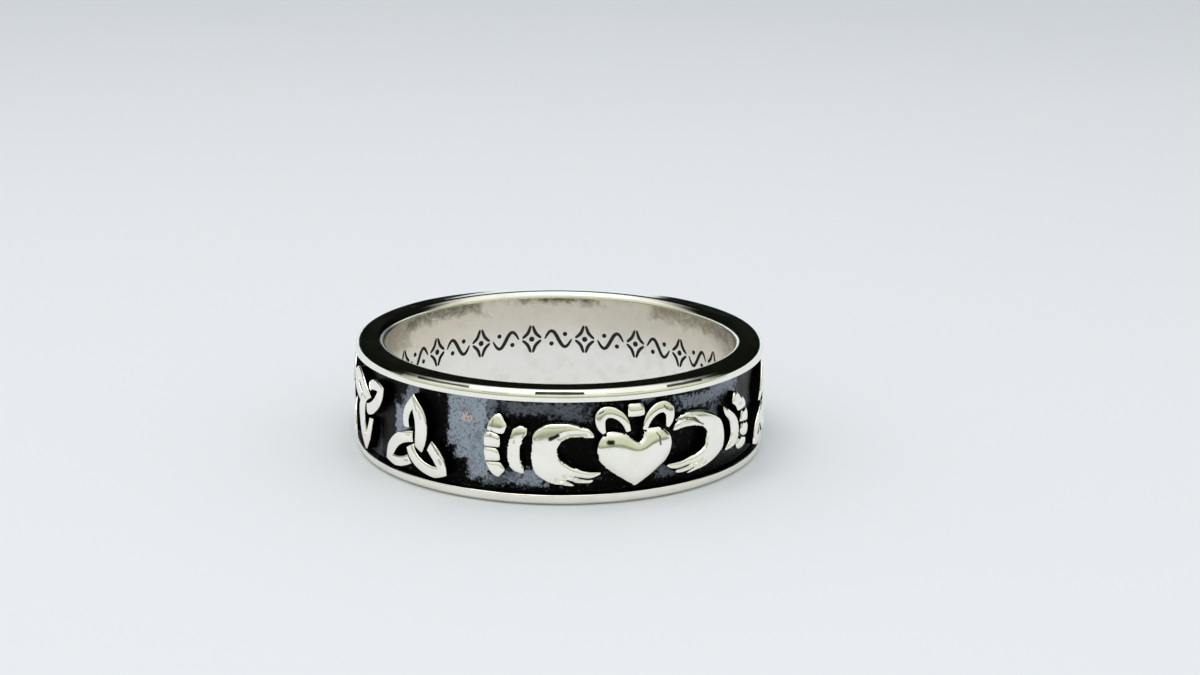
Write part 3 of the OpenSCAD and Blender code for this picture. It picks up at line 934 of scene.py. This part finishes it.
def lean_drop(angle, r):
    """How far the leaning top lies below the flat one, in mm."""
    reach = np.maximum(r - LEAN_FROM_R, 0)
    total = 0
    for i in range(LEAN_STEPS):
        share = reach * (i + 0.5) / LEAN_STEPS / (OUTER_R - LEAN_FROM_R)
        start = LEAN_START + LEAN_LATER * share
        end = LEAN_END - LEAN_SOONER * share
        full = np.clip(np.minimum(angle - start, end - angle) / LEAN_FADE, 0, 1)
        total = total + full * full * (3 - 2 * full)
    return LEAN_SLOPE * reach * total / LEAN_STEPS


def make_band():
    rows = np.array(band_profile())
    n = len(rows)
    angle = np.arange(AROUND) * 2 * math.pi / AROUND
    a = np.repeat(angle, n)
    r = np.tile(rows[:, 0], AROUND)
    z = np.tile(rows[:, 1], AROUND)
    ground = np.abs(r - FLOOR_R) < ON_GROUND
    r = r + np.where(ground, waviness(a, z, GROUND_SEED) * GROUND_WAVE_D, 0)
    z = z - np.where(z > BAND_W - EDGE_OUT_R, lean_drop(a, r), 0)
    points = np.stack([r * np.sin(a), -r * np.cos(a), z], axis=1) * MM
    faces, slots = [], []
    for i in range(AROUND):
        k = (i + 1) % AROUND
        for j in range(n):
            b = (j + 1) % n
            faces.append([i * n + j, i * n + b, k * n + b, k * n + j])
            slots.append(int(rows[j, 2]))
    materials = [MAT_RIM, MAT_BORE, MAT_FIELD, MAT_ENGRAVED]
    return finish_mesh("band", points, faces, materials, BAND_SHARP, slots)


# Engraving inside the finger hole
ENGRAVE_D = 0.09
ENGRAVE_MID = 3.12
ENGRAVE_START = 74.0
ENGRAVE_END = 228.0
ENGRAVE_PITCH = 3.4
STROKE_W = 0.21
# Width of a stroke's ends as a share of its own
STROKE_END = 0.35
# Lozenge: half width and half height, free space at its points, bow of its sides, its dot's radius
LOZENGE_X = 0.58
LOZENGE_Z = 0.86
LOZENGE_GAP = 0.06
LOZENGE_BOW = 0.08
LOZENGE_DOT_R = 0.17
# Wave: its distance from the lozenges' middles, height, width as a share of the stroke's
WAVE_OFF = 0.8
WAVE_H = 0.5
WAVE_WIDER = 1.1
WAVE_POINTS = 17
# The wave's dots: height above or below the middle and radius
WAVE_DOT_UP = 0.3
WAVE_DOT_R = 0.14
ENGRAVE_REACH = 0.06


def stroke_outline(points, width):
    """Outline of a stroke with rounded thickness along points, thin at both ends."""
    points = np.asarray(points, float)
    last = len(points) - 1
    left, right = [], []
    for i, p in enumerate(points):
        run = points[min(i + 1, last)] - points[max(i - 1, 0)]
        side = np.array([-run[1], run[0]]) / np.linalg.norm(run)
        w = width / 2 * (STROKE_END + (1 - STROKE_END) * math.sin(math.pi * i / last) ** 0.5)
        left.append(p + side * w)
        right.append(p - side * w)
    return left + right[::-1]


def circle_outline(x, z, r, count=14):
    return [[x + r * math.cos(2 * math.pi * i / count), z + r * math.sin(2 * math.pi * i / count)]
            for i in range(count)]


def engraving_shapes():
    """Outlines in mm on the bore wall of a border of dotted lozenges, joined by waves with dots."""
    shapes = []
    length = math.radians(ENGRAVE_END - ENGRAVE_START) * BORE_R
    bays = round(length / ENGRAVE_PITCH)
    step = length / bays
    first = math.radians(ENGRAVE_START) * BORE_R
    for i in range(bays + 1):
        x = first + i * step
        for sx, sz in ((1, 1), (1, -1), (-1, 1), (-1, -1)):
            a = [x + sx * LOZENGE_X, ENGRAVE_MID + sz * LOZENGE_GAP]
            b = [x + sx * LOZENGE_GAP, ENGRAVE_MID + sz * LOZENGE_Z]
            bow = [(a[0] + b[0]) / 2 - sx * LOZENGE_BOW, (a[1] + b[1]) / 2 - sz * LOZENGE_BOW]
            shapes.append(stroke_outline(curve_rows([a, bow, b], 4), STROKE_W))
        shapes.append(circle_outline(x, ENGRAVE_MID, LOZENGE_DOT_R))
        if i == bays:
            break
        mid = x + step / 2
        half = step / 2 - WAVE_OFF
        flip = 1 if i % 2 == 0 else -1
        wave = [[mid + half * t, ENGRAVE_MID + flip * WAVE_H * math.sin(math.pi * t)]
                for t in np.linspace(-1, 1, WAVE_POINTS)]
        shapes.append(stroke_outline(wave, STROKE_W * WAVE_WIDER))
        for side in (-1, 1):
            dot_z = ENGRAVE_MID - side * flip * WAVE_DOT_UP
            shapes.append(circle_outline(mid + side * half / 2, dot_z, WAVE_DOT_R))
    return shapes


def engrave(band):
    points, faces = [], []
    for outline in engraving_shapes():
        n, first = len(outline), len(points)
        for r in (BORE_R - ENGRAVE_REACH, BORE_R + ENGRAVE_D):
            for x, z in outline:
                a = x / BORE_R
                points.append([r * math.sin(a) * MM, -r * math.cos(a) * MM, z * MM])
        for i in range(n):
            k = (i + 1) % n
            faces.append([first + i, first + k, first + n + k, first + n + i])
        faces.append([first + i for i in range(n)])
        faces.append([first + n + i for i in range(n)])
    cutter = finish_mesh("cutter", points, faces, [MAT_ENGRAVED])
    cut = band.modifiers.new("engrave", "BOOLEAN")
    cut.operation, cut.solver, cut.object = "DIFFERENCE", "EXACT", cutter
    cut.material_mode = "TRANSFER"
    bpy.context.view_layer.update()
    done = bpy.data.meshes.new_from_object(band.evaluated_get(bpy.context.evaluated_depsgraph_get()))
    band.modifiers.clear()
    band.data = done
    bpy.data.objects.remove(cutter)
    settle(band, BAND_SHARP)


# Heart
# Outlines of the relief's pieces are in mm: distance round the band from the heart's middle, and
# height. Those of the hands, cuffs and puffs to the left count the distance to the left.
HEART = [
    [0, .915], [.25, 1.02], [.667, 1.267], [1.0, 1.483], [1.333, 1.733], [1.7, 2.0], [1.9, 2.267],
    [2.02, 2.5], [2.085, 2.767], [2.093, 3.03], [2.04, 3.23], [1.9, 3.433], [1.7, 3.617],
    [1.555, 3.735], [1.4, 3.79], [1.1, 3.8], [.8, 3.8], [.6, 3.775], [.5, 3.67], [.43, 3.53],
    [.35, 3.367], [.24, 3.285], [.1, 3.27], [-.04, 3.335], [-.2, 3.483], [-.367, 3.617],
    [-.533, 3.733], [-.68, 3.785], [-1.0, 3.8], [-1.3, 3.8], [-1.48, 3.77], [-1.633, 3.667],
    [-1.8, 3.5], [-1.91, 3.3], [-1.985, 3.067], [-2.01, 2.8], [-1.967, 2.533], [-1.867, 2.3],
    [-1.7, 2.067], [-1.5, 1.867], [-1.267, 1.667], [-1.0, 1.483], [-.733, 1.3], [-.467, 1.133],
    [-.2, .983],
]
HEART_EDGE = 0.6
HEART_BULGE = 0.62
HEART_SPACING = 0.075
HEART_ROLL = (1.3, 0.05, 0.09)


def closed_curve(outline, steps):
    """Outline rounded with steps points between each two of its own."""
    rows = np.asarray(outline, float)
    return curve_rows(np.vstack([rows[-1:], rows, rows[:2]]), steps)[steps:-steps - 1]


def make_heart():
    def rise(flat, u):
        share = u / u.max()
        full = HEART_BULGE * share ** 0.5 + (1 - HEART_BULGE) * (1 - (1 - share) ** 3)
        return HEART_DOME_H * (HEART_EDGE + (1 - HEART_EDGE) * full)

    relief = Relief()
    relief.add(*pillow(closed_curve(HEART, OUTLINE_STEPS), HEART_SPACING, rise), roll=HEART_ROLL)
    return relief.build("heart")


# Crown
CROWN_LOOP = [
    [.793, -.03, .16], [.84, .12, .27], [.87, .28, .34], [.878, .425, .38], [.85, .58, .45],
    [.755, .7, .43], [.612, .7, .4], [.486, .622, .365], [.362, .475, .325], [.27, .27, .27],
    [.225, .09, .215], [.207, -.02, .18],
]
CROWN_LOOP_H = 0.95
LOOP_STEPS = 8
CROWN_ROLL = (3.75, 0.2, 0.0)
JEWEL_ROLL = (4.35, 0.3, 0.0)
JEWEL = [
    [-.467, 4.65], [-.44, 4.56], [-.3, 4.53], [0, 4.517], [.3, 4.53], [.44, 4.58], [.478, 4.7],
    [.475, 4.9], [.44, 5.05], [.36, 5.18], [.22, 5.25], [0, 5.27], [-.25, 5.265], [-.38, 5.24],
    [-.45, 5.15], [-.47, 4.9],
]
JEWEL_EDGE = 0.68
JEWEL_SPACING = 0.05


def make_crown():
    relief = Relief()
    rows = curve_rows(CROWN_LOOP, LOOP_STEPS)
    spine = [[r[0] * CROWN_W / 2, CROWN_Z + r[1] * CROWN_H, r[2] * CROWN_H, CROWN_LOOP_H] for r in rows]
    for way in (1, -1):
        relief.add(*ribbon(spine_rows(spine)), way=way, roll=CROWN_ROLL)

    def rise(flat, u):
        return RELIEF_H * (JEWEL_EDGE + (1 - JEWEL_EDGE) * (u / u.max()) ** 0.5)

    relief.add(*pillow(closed_curve(JEWEL, 3), JEWEL_SPACING, rise), roll=JEWEL_ROLL)
    return relief.build("crown")


# Hands
HAND_LEFT = [
    [2.17, 3.59], [2.31, 3.89], [2.48, 4.0], [2.81, 4.1], [2.95, 4.19], [3.12, 4.24], [3.34, 4.3],
    [3.7, 4.34], [4.0, 4.34], [4.37, 4.32], [4.67, 4.25], [4.85, 4.15], [5.07, 4.02], [5.24, 3.83],
    [5.33, 3.62], [5.35, 3.2], [5.37, 3.0], [5.4, 2.7], [5.38, 2.48], [5.34, 2.2], [5.28, 1.98],
    [5.19, 1.76], [5.0, 1.575], [4.76, 1.42], [4.5, 1.28], [4.23, 1.18], [3.93, 1.14], [3.56, 1.11],
    [3.34, 1.09], [3.19, 1.117], [3.34, 1.228], [3.55, 1.367], [3.28, 1.325], [3.12, 1.27],
    [2.92, 1.245], [2.51, 1.228], [2.33, 1.25], [2.23, 1.34], [2.3, 1.39], [2.5, 1.38],
    [2.7, 1.415], [2.92, 1.46], [3.14, 1.55], [2.92, 1.53], [2.5, 1.478], [2.31, 1.49],
    [2.117, 1.547], [1.93, 1.63], [1.84, 1.728], [2.03, 1.77], [2.31, 1.77], [2.5, 1.797],
    [2.84, 1.88], [3.0, 1.978], [3.31, 2.1], [3.5, 2.228], [3.7, 2.367], [3.87, 2.52], [3.95, 2.73],
    [3.98, 2.92], [3.97, 3.09], [3.92, 3.228], [3.81, 3.34], [3.67, 3.436], [3.5, 3.515],
    [3.31, 3.56], [3.0, 3.579], [2.64, 3.57], [2.37, 3.555],
]
HAND_RIGHT = [
    [2.2, 3.51], [2.33, 3.75], [2.45, 3.96], [2.6, 4.1], [2.915, 4.26], [3.22, 4.32], [3.55, 4.3],
    [4.0, 4.275], [4.31, 4.215], [4.58, 4.12], [4.885, 3.97], [5.19, 3.76], [5.42, 3.6],
    [5.62, 3.41], [5.74, 3.0], [5.77, 2.58], [5.74, 2.276], [5.69, 2.05], [5.6, 1.88], [5.41, 1.74],
    [5.158, 1.58], [4.885, 1.43], [4.5, 1.29], [4.127, 1.185], [3.82, 1.15], [3.52, 1.13],
    [3.28, 1.09], [3.05, 1.1], [3.28, 1.195], [3.64, 1.336], [3.34, 1.27], [3.1, 1.235],
    [2.76, 1.2], [2.45, 1.225], [2.31, 1.3], [2.42, 1.38], [2.76, 1.41], [3.1, 1.458],
    [3.28, 1.528], [3.1, 1.53], [2.855, 1.5], [2.5, 1.458], [2.2, 1.49], [1.96, 1.57], [1.78, 1.72],
    [1.98, 1.77], [2.31, 1.776], [2.76, 1.806], [3.0, 1.87], [3.22, 1.93], [3.52, 2.0],
    [3.79, 2.09], [4.0, 2.185], [4.19, 2.336], [4.32, 2.58], [4.385, 2.8], [4.38, 2.97],
    [4.32, 3.09], [4.22, 3.215], [4.0, 3.36], [3.79, 3.43], [3.52, 3.488], [3.22, 3.52],
    [3.0, 3.53], [2.73, 3.51], [2.43, 3.49],
]
HAND_SPACING = 0.07
HAND_STEEP = 0.72
HAND_SHOULDER = 0.022
HAND_EDGE = 0.74
HAND_ROLL = (1.75, 0.08, 0.0)
# Folds of the left and right hand: points, depth in mm, width in mm
LEFT_FOLDS = [
    [[[3.55, 1.37], [3.9, 1.42], [4.3, 1.58]], 0.09, 0.045],
    [[[3.14, 1.55], [3.5, 1.6], [3.9, 1.78]], 0.09, 0.045],
    [[[2.5, 3.72], [3.1, 3.8], [3.6, 3.74], [4.0, 3.55]], 0.07, 0.09],
]
RIGHT_FOLDS = [
    [[[3.64, 1.34], [4.0, 1.4], [4.4, 1.56]], 0.09, 0.045],
    [[[3.28, 1.53], [3.7, 1.6], [4.1, 1.8]], 0.09, 0.045],
    [[[2.3, 3.9], [2.9, 4.05], [3.5, 3.93], [3.8, 3.76], [4.1, 3.55]], 0.15, 0.06],
]


def make_hands():
    relief = Relief()
    for outline, folds, way in ((HAND_LEFT, LEFT_FOLDS, -1), (HAND_RIGHT, RIGHT_FOLDS, 1)):
        def rise(flat, u):
            full = steep_rise(u, HAND_STEEP, HAND_SHOULDER)
            h = RELIEF_H * (HAND_EDGE + (1 - HAND_EDGE) * full)
            for points, depth, width in folds:
                gap, along = line_distance(flat, points)
                h -= depth * np.exp(-(gap / width) ** 2) * np.sin(math.pi * (0.5 + along / 2)) ** 0.5
            return h

        shell = pillow(closed_curve(outline, OUTLINE_STEPS), HAND_SPACING, rise)
        relief.add(*shell, way=way, roll=HAND_ROLL)
    return relief.build("hands")


# Cuffs and ruffles
CUFF_LEFT = [
    [6.3, 4.01], [6.15, 4.075], [6.05, 4.14], [5.9, 4.175], [5.75, 4.14], [5.625, 4.05],
    [5.56, 3.925], [5.56, 3.775], [5.625, 3.6], [5.725, 3.43], [5.8, 3.22], [5.85, 3.0],
    [5.85, 2.75], [5.85, 2.5], [5.81, 2.3], [5.75, 2.1], [5.69, 1.925], [5.685, 1.785],
    [5.75, 1.71], [5.87, 1.7], [6.05, 1.74], [6.2, 1.81], [6.35, 1.91], [6.45, 2.05], [6.525, 2.25],
    [6.575, 2.5], [6.595, 2.75], [6.58, 3.0], [6.55, 3.2], [6.5, 3.45], [6.425, 3.7], [6.37, 3.88],
]
CUFF_RIGHT = [
    [5.875, 4.01], [6.0, 4.0], [6.25, 3.9], [6.45, 3.75], [6.65, 3.6], [6.83, 3.45], [6.95, 3.29],
    [7.03, 3.125], [7.1, 2.875], [7.125, 2.625], [7.1, 2.375], [7.03, 2.125], [6.92, 1.925],
    [6.78, 1.79], [6.5, 1.7], [6.15, 1.66], [5.92, 1.69], [5.9, 1.77], [6.05, 1.925], [6.23, 2.12],
    [6.35, 2.35], [6.4, 2.52], [6.4, 2.75], [6.35, 3.0], [6.25, 3.22], [6.125, 3.4], [5.98, 3.6],
    [5.9, 3.8],
]
PUFFS_LEFT = [
    [[7.05, 4.66], [7.27, 4.6], [7.4, 4.49], [7.5, 4.35], [7.57, 4.125], [7.6, 3.925], [7.57, 3.83],
     [7.36, 3.79], [7.2, 3.75], [7.05, 3.71], [6.87, 3.71], [6.77, 3.76], [6.71, 3.875],
     [6.67, 4.0], [6.63, 4.1], [6.66, 4.2], [6.75, 4.325], [6.83, 4.465], [6.92, 4.59]],
    [[7.65, 3.71], [7.74, 3.5], [7.77, 3.25], [7.71, 3.03], [7.3, 3.01], [6.98, 3.04],
     [6.945, 3.25], [6.96, 3.48], [7.02, 3.59], [7.2, 3.67], [7.42, 3.73]],
    [[7.68, 2.93], [7.74, 2.825], [7.75, 2.625], [7.71, 2.4], [7.64, 2.27], [7.3, 2.28],
     [6.98, 2.33], [6.94, 2.41], [6.945, 2.5], [6.985, 2.7], [7.06, 2.85], [7.2, 2.92],
     [7.45, 2.935]],
    [[7.6, 2.17], [7.58, 2.0], [7.52, 1.825], [7.4, 1.675], [7.25, 1.54], [7.08, 1.475],
     [6.95, 1.51], [6.85, 1.625], [6.75, 1.725], [6.69, 1.875], [6.775, 2.025], [6.88, 2.165],
     [7.03, 2.21], [7.3, 2.195]],
]
PUFFS_RIGHT = [
    [[7.0, 4.57], [6.88, 4.5], [6.71, 4.275], [6.64, 4.09], [6.76, 3.98], [6.9, 3.89], [6.99, 3.75],
     [7.06, 3.62], [7.2, 3.55], [7.6, 3.57], [7.94, 3.63], [7.94, 3.85], [7.84, 4.05], [7.66, 4.24],
     [7.52, 4.21], [7.42, 4.32], [7.3, 4.46], [7.15, 4.55]],
    [[7.45, 3.46], [7.7, 3.49], [8.02, 3.46], [8.11, 3.2], [8.08, 2.83], [7.8, 2.84], [7.4, 2.9],
     [7.24, 2.97], [7.31, 3.1], [7.39, 3.3]],
    [[7.42, 2.77], [7.7, 2.72], [8.08, 2.65], [8.14, 2.4], [8.03, 2.08], [7.8, 2.04], [7.5, 2.14],
     [7.3, 2.3], [7.31, 2.5]],
    [[7.15, 2.04], [7.4, 2.02], [7.7, 1.93], [7.92, 1.87], [7.91, 1.7], [7.8, 1.55], [7.5, 1.45],
     [7.2, 1.46], [7.0, 1.54], [6.89, 1.7], [6.96, 1.9]],
]
CUFF_EDGE = 0.8
CUFF_ROLL = (1.9, 0.085, 0.0)
PUFF_EDGE = 0.86
PUFF_ROLL = (2.6, 0.13, 0.0)
PUFF_SPREAD = 1.035
SMALL_SPACING = 0.07
SMALL_STEEP = 0.82
SMALL_SHOULDER = 0.01


def crowned(edge):
    """Height of a small pillow: steep at its outline, nearly flat on top."""
    def rise(flat, u):
        full = steep_rise(u, SMALL_STEEP, SMALL_SHOULDER)
        return RELIEF_H * (edge + (1 - edge) * full)
    return rise


def make_cuffs():
    relief = Relief()
    for outline, way in ((CUFF_LEFT, -1), (CUFF_RIGHT, 1)):
        shell = pillow(closed_curve(outline, OUTLINE_STEPS), SMALL_SPACING, crowned(CUFF_EDGE))
        relief.add(*shell, way=way, roll=CUFF_ROLL)
    return relief.build("cuffs")


def make_ruffles():
    relief = Relief()
    for puffs, way in ((PUFFS_LEFT, -1), (PUFFS_RIGHT, 1)):
        for puff in puffs:
            middle = np.mean(puff, axis=0)
            outline = closed_curve(middle + (np.array(puff) - middle) * PUFF_SPREAD, OUTLINE_STEPS)
            shell = pillow(outline, SMALL_SPACING, crowned(PUFF_EDGE))
            relief.add(*shell, way=way, roll=PUFF_ROLL)
    return relief.build("ruffles")


# Knots

# A strand before and after its turn: rows of [share of the way, share from its first width to its
# second, share of the height]
STRAND_OUT = [[0, 0, 0.76], [0.36, 0, 0.88], [0.7, 0.1, 0.95], [1, 0.2, 0.97]]
STRAND_BACK = [
    [0, 0.8, 0.97], [0.15, 0.97, 0.97], [0.31, 1, 0.98], [0.47, 1, 1], [0.65, 0.92, 1],
    [0.83, 0.75, 0.94], [1, 0.5, 0.8],
]
STRAND_TURN_H = 0.97
OUT_STEPS = 7
BACK_STEPS = 6
# Widths of a knot's three strands from thin to wide: [where it comes out; where it crosses over]
STRAND_SHARES = [[0, 1], [0.62, 0.48], [0.3, 0.6]]
# How far the outer edge of each strand's turn is rounded off, in mm, and rows on each of its sides
TIP_ROUNDING = [0.08, 0.2, 0.2]
TIP_STEPS = 6
KNOT_ROLL = (3.2, 0.06, 0.0)


def third_turn(a, k):
    a = math.radians(a - 120 * k)
    return np.array([math.cos(a), math.sin(a)])


def strand_width(k, w):
    shares = STRAND_SHARES[k % 3]
    return STRAND_THIN_W + (STRAND_W - STRAND_THIN_W) * (shares[0] + (shares[1] - shares[0]) * w)


def hidden_angle(k):
    return math.degrees((strand_width(k, 1) / 2 + END_GAP) / ARC_R)


def strand_row(k, a, width, h):
    out = third_turn(a, k)
    p = ARC_OFF * third_turn(90 + ARC_LEAD, k) + ARC_R * out
    side = out * width / 2
    return [p[0], p[1], side[0], side[1], h]


def strand(k):
    turn = third_turn(90, k)
    wide = TURN_W / 2 / TURN_SIN
    start, end = -TURN_A - hidden_angle(k + 2), TURN_SIDE_A - TURN_A - ARC_LEAD
    rows = [strand_row(k + 1, start + (end - start) * t, strand_width(k, w), h)
            for t, w, h in curve_rows(STRAND_OUT, OUT_STEPS)]
    tip = [TURN_R * turn[0], TURN_R * turn[1], turn[0] * wide, turn[1] * wide, STRAND_TURN_H]
    start, end = TURN_A - TURN_SIDE_A, hidden_angle(k + 1) - TURN_A
    back = [strand_row(k, start + (end - start) * t, strand_width(k, w), h)
            for t, w, h in curve_rows(STRAND_BACK, BACK_STEPS)]
    for a, b, fall in ((rows[-1], tip, 1), (tip, back[0], -1)):
        a, b = np.array(a), np.array(b)
        for i in range(1, TIP_STEPS + 1):
            row = a + (b - a) * i / TIP_STEPS
            near = i / TIP_STEPS if fall == 1 else 1 - i / TIP_STEPS
            off = TIP_ROUNDING[k] * near ** 2 / 2
            length = math.hypot(row[2], row[3])
            way = np.array([row[2], row[3]]) / length
            row[:2] -= way * off
            row[2:4] -= way * off
            rows.append(list(row))
    return rows + back[1:]


def make_knots():
    relief = Relief()
    middle = FIELD_MID - KNOT_DROP
    for i in range(KNOT_BAYS + 1):
        way = 1 if i % 2 == 0 else -1
        for k in range(3):
            rows = [[way * x, middle + way * (z - KNOT_MID), way * wx, way * wz, h]
                    for x, z, wx, wz, h in strand(k)]
            relief.add(*ribbon(rows), turn=FIRST_KNOT_X + i * KNOT_STEP, roll=KNOT_ROLL)
    return relief.build("knots")


# Table, light and surroundings; lengths are in metres
TABLE_R = 1.6
TABLE_SEGMENTS = 96
LIGHT_PLACE = (-0.05, -0.03, 0.30)
LIGHT_AIM = (0, 0, 0)
LIGHT_SIZE = 0.26
LIGHT_POWER = 0.3
LIGHT_COLOUR = (1.0, 0.98, 0.95)


def make_table():
    bm = bmesh.new()
    bmesh.ops.create_circle(bm, cap_ends=True, segments=TABLE_SEGMENTS, radius=TABLE_R)
    data = bpy.data.meshes.new("table")
    bm.to_mesh(data)
    bm.free()
    data.materials.append(MAT_TABLE)
    obj = new_object("table", data)


def make_light(name, place, aim, size, power, colour):
    data = bpy.data.lights.new(name, "AREA")
    data.shape, data.size, data.energy, data.color = "DISK", size, power, colour
    obj = new_object(name, data)
    obj.location = place
    obj.rotation_mode = "QUATERNION"
    obj.rotation_quaternion = (Vector(aim) - Vector(place)).to_track_quat("-Z", "Y")


# The studio's light by where it comes from; angles are in degrees above the table
FRONT_LOW = (0.20, 0.225, 0.15, 1)
FRONT_MIDDLE = (0.60, 0.66, 0.50, 1)
FRONT_HIGH = (1.0, 1.0, 0.97, 1)
FRONT_SPOTS = (0.55, 0.62, 0.40, 1)
FRONT_RISE = (1.0, 9.0)
FRONT_HIGH_RISE = (16.0, 50.0)
BACK_LOW = (0.80, 0.92, 0.94, 1)
BACK_DARK = (0.005, 0.006, 0.004, 1)
BACK_HIGH = (0.98, 0.98, 0.95, 1)
BACK_DARK_RISE = (7.5, 11.0)
BACK_HIGH_RISE = (40.0, 66.0)
SIDE_FADE = (-0.15, 0.35)
FRONT_SPOT_LEVELS = (0.45, 0.6)
FRONT_SPOT_SHARE = 0.18
SOFT_LIGHT = (0.77, 0.79, 0.83, 1)
BACKDROP = (0.77, 0.80, 0.86, 1)


def make_world():
    """Soft studio: bright overhead and behind the camera, dark low down behind the ring."""
    world = bpy.data.worlds.new("studio")
    bpy.context.scene.world = world
    world.use_nodes = True
    n = Nodes(world.node_tree)
    coord = n.new("ShaderNodeTexCoord")
    turn = n.new("ShaderNodeVectorRotate", rotation_type="Z_AXIS")
    n.fill(turn, Vector=coord.outputs["Generated"], Angle=-CAM_AZIMUTH)
    split = n.new("ShaderNodeSeparateXYZ")
    n.fill(split, turn.outputs[0])
    _, y, z = split.outputs
    upward = n.least(n.most(z, -1.0), 1.0)
    rise = n.mul(n.math("ARCSINE", upward), 180 / math.pi)
    cloud = n.noise(turn.outputs[0], *STUDIO_CLOUD)
    front = n.mix(n.step(rise, *FRONT_RISE), FRONT_LOW, FRONT_MIDDLE)
    front = n.mix(n.step(rise, *FRONT_HIGH_RISE), front, FRONT_HIGH)
    spots = n.mul(n.step(cloud, *FRONT_SPOT_LEVELS), FRONT_SPOT_SHARE)
    front = n.mix(spots, front, FRONT_SPOTS)
    back = n.mix(n.step(rise, *BACK_DARK_RISE), BACK_LOW, BACK_DARK)
    back = n.mix(n.step(rise, *BACK_HIGH_RISE), back, BACK_HIGH)
    sky = n.mix(n.step(y, *SIDE_FADE), front, back)
    seen = n.new("ShaderNodeLightPath")
    sky = n.mix(seen.outputs["Is Diffuse Ray"], sky, SOFT_LIGHT)
    sky = n.mix(seen.outputs["Is Camera Ray"], sky, BACKDROP)
    ground = n.new("ShaderNodeBackground")
    n.fill(ground, Color=sky, Strength=1.0)
    out = n.new("ShaderNodeOutputWorld")
    n.fill(out, Surface=ground.outputs[0])


make_world()
make_table()
make_light("overhead", LIGHT_PLACE, LIGHT_AIM, LIGHT_SIZE, LIGHT_POWER, LIGHT_COLOUR)
bpy.context.scene.view_settings.view_transform = "Standard"

band = make_band()
engrave(band)
pieces = [band, make_heart(), make_crown(), make_hands(), make_cuffs(), make_ruffles(), make_knots()]
for piece in pieces:
    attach(piece, "root")
    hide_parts(NODE)
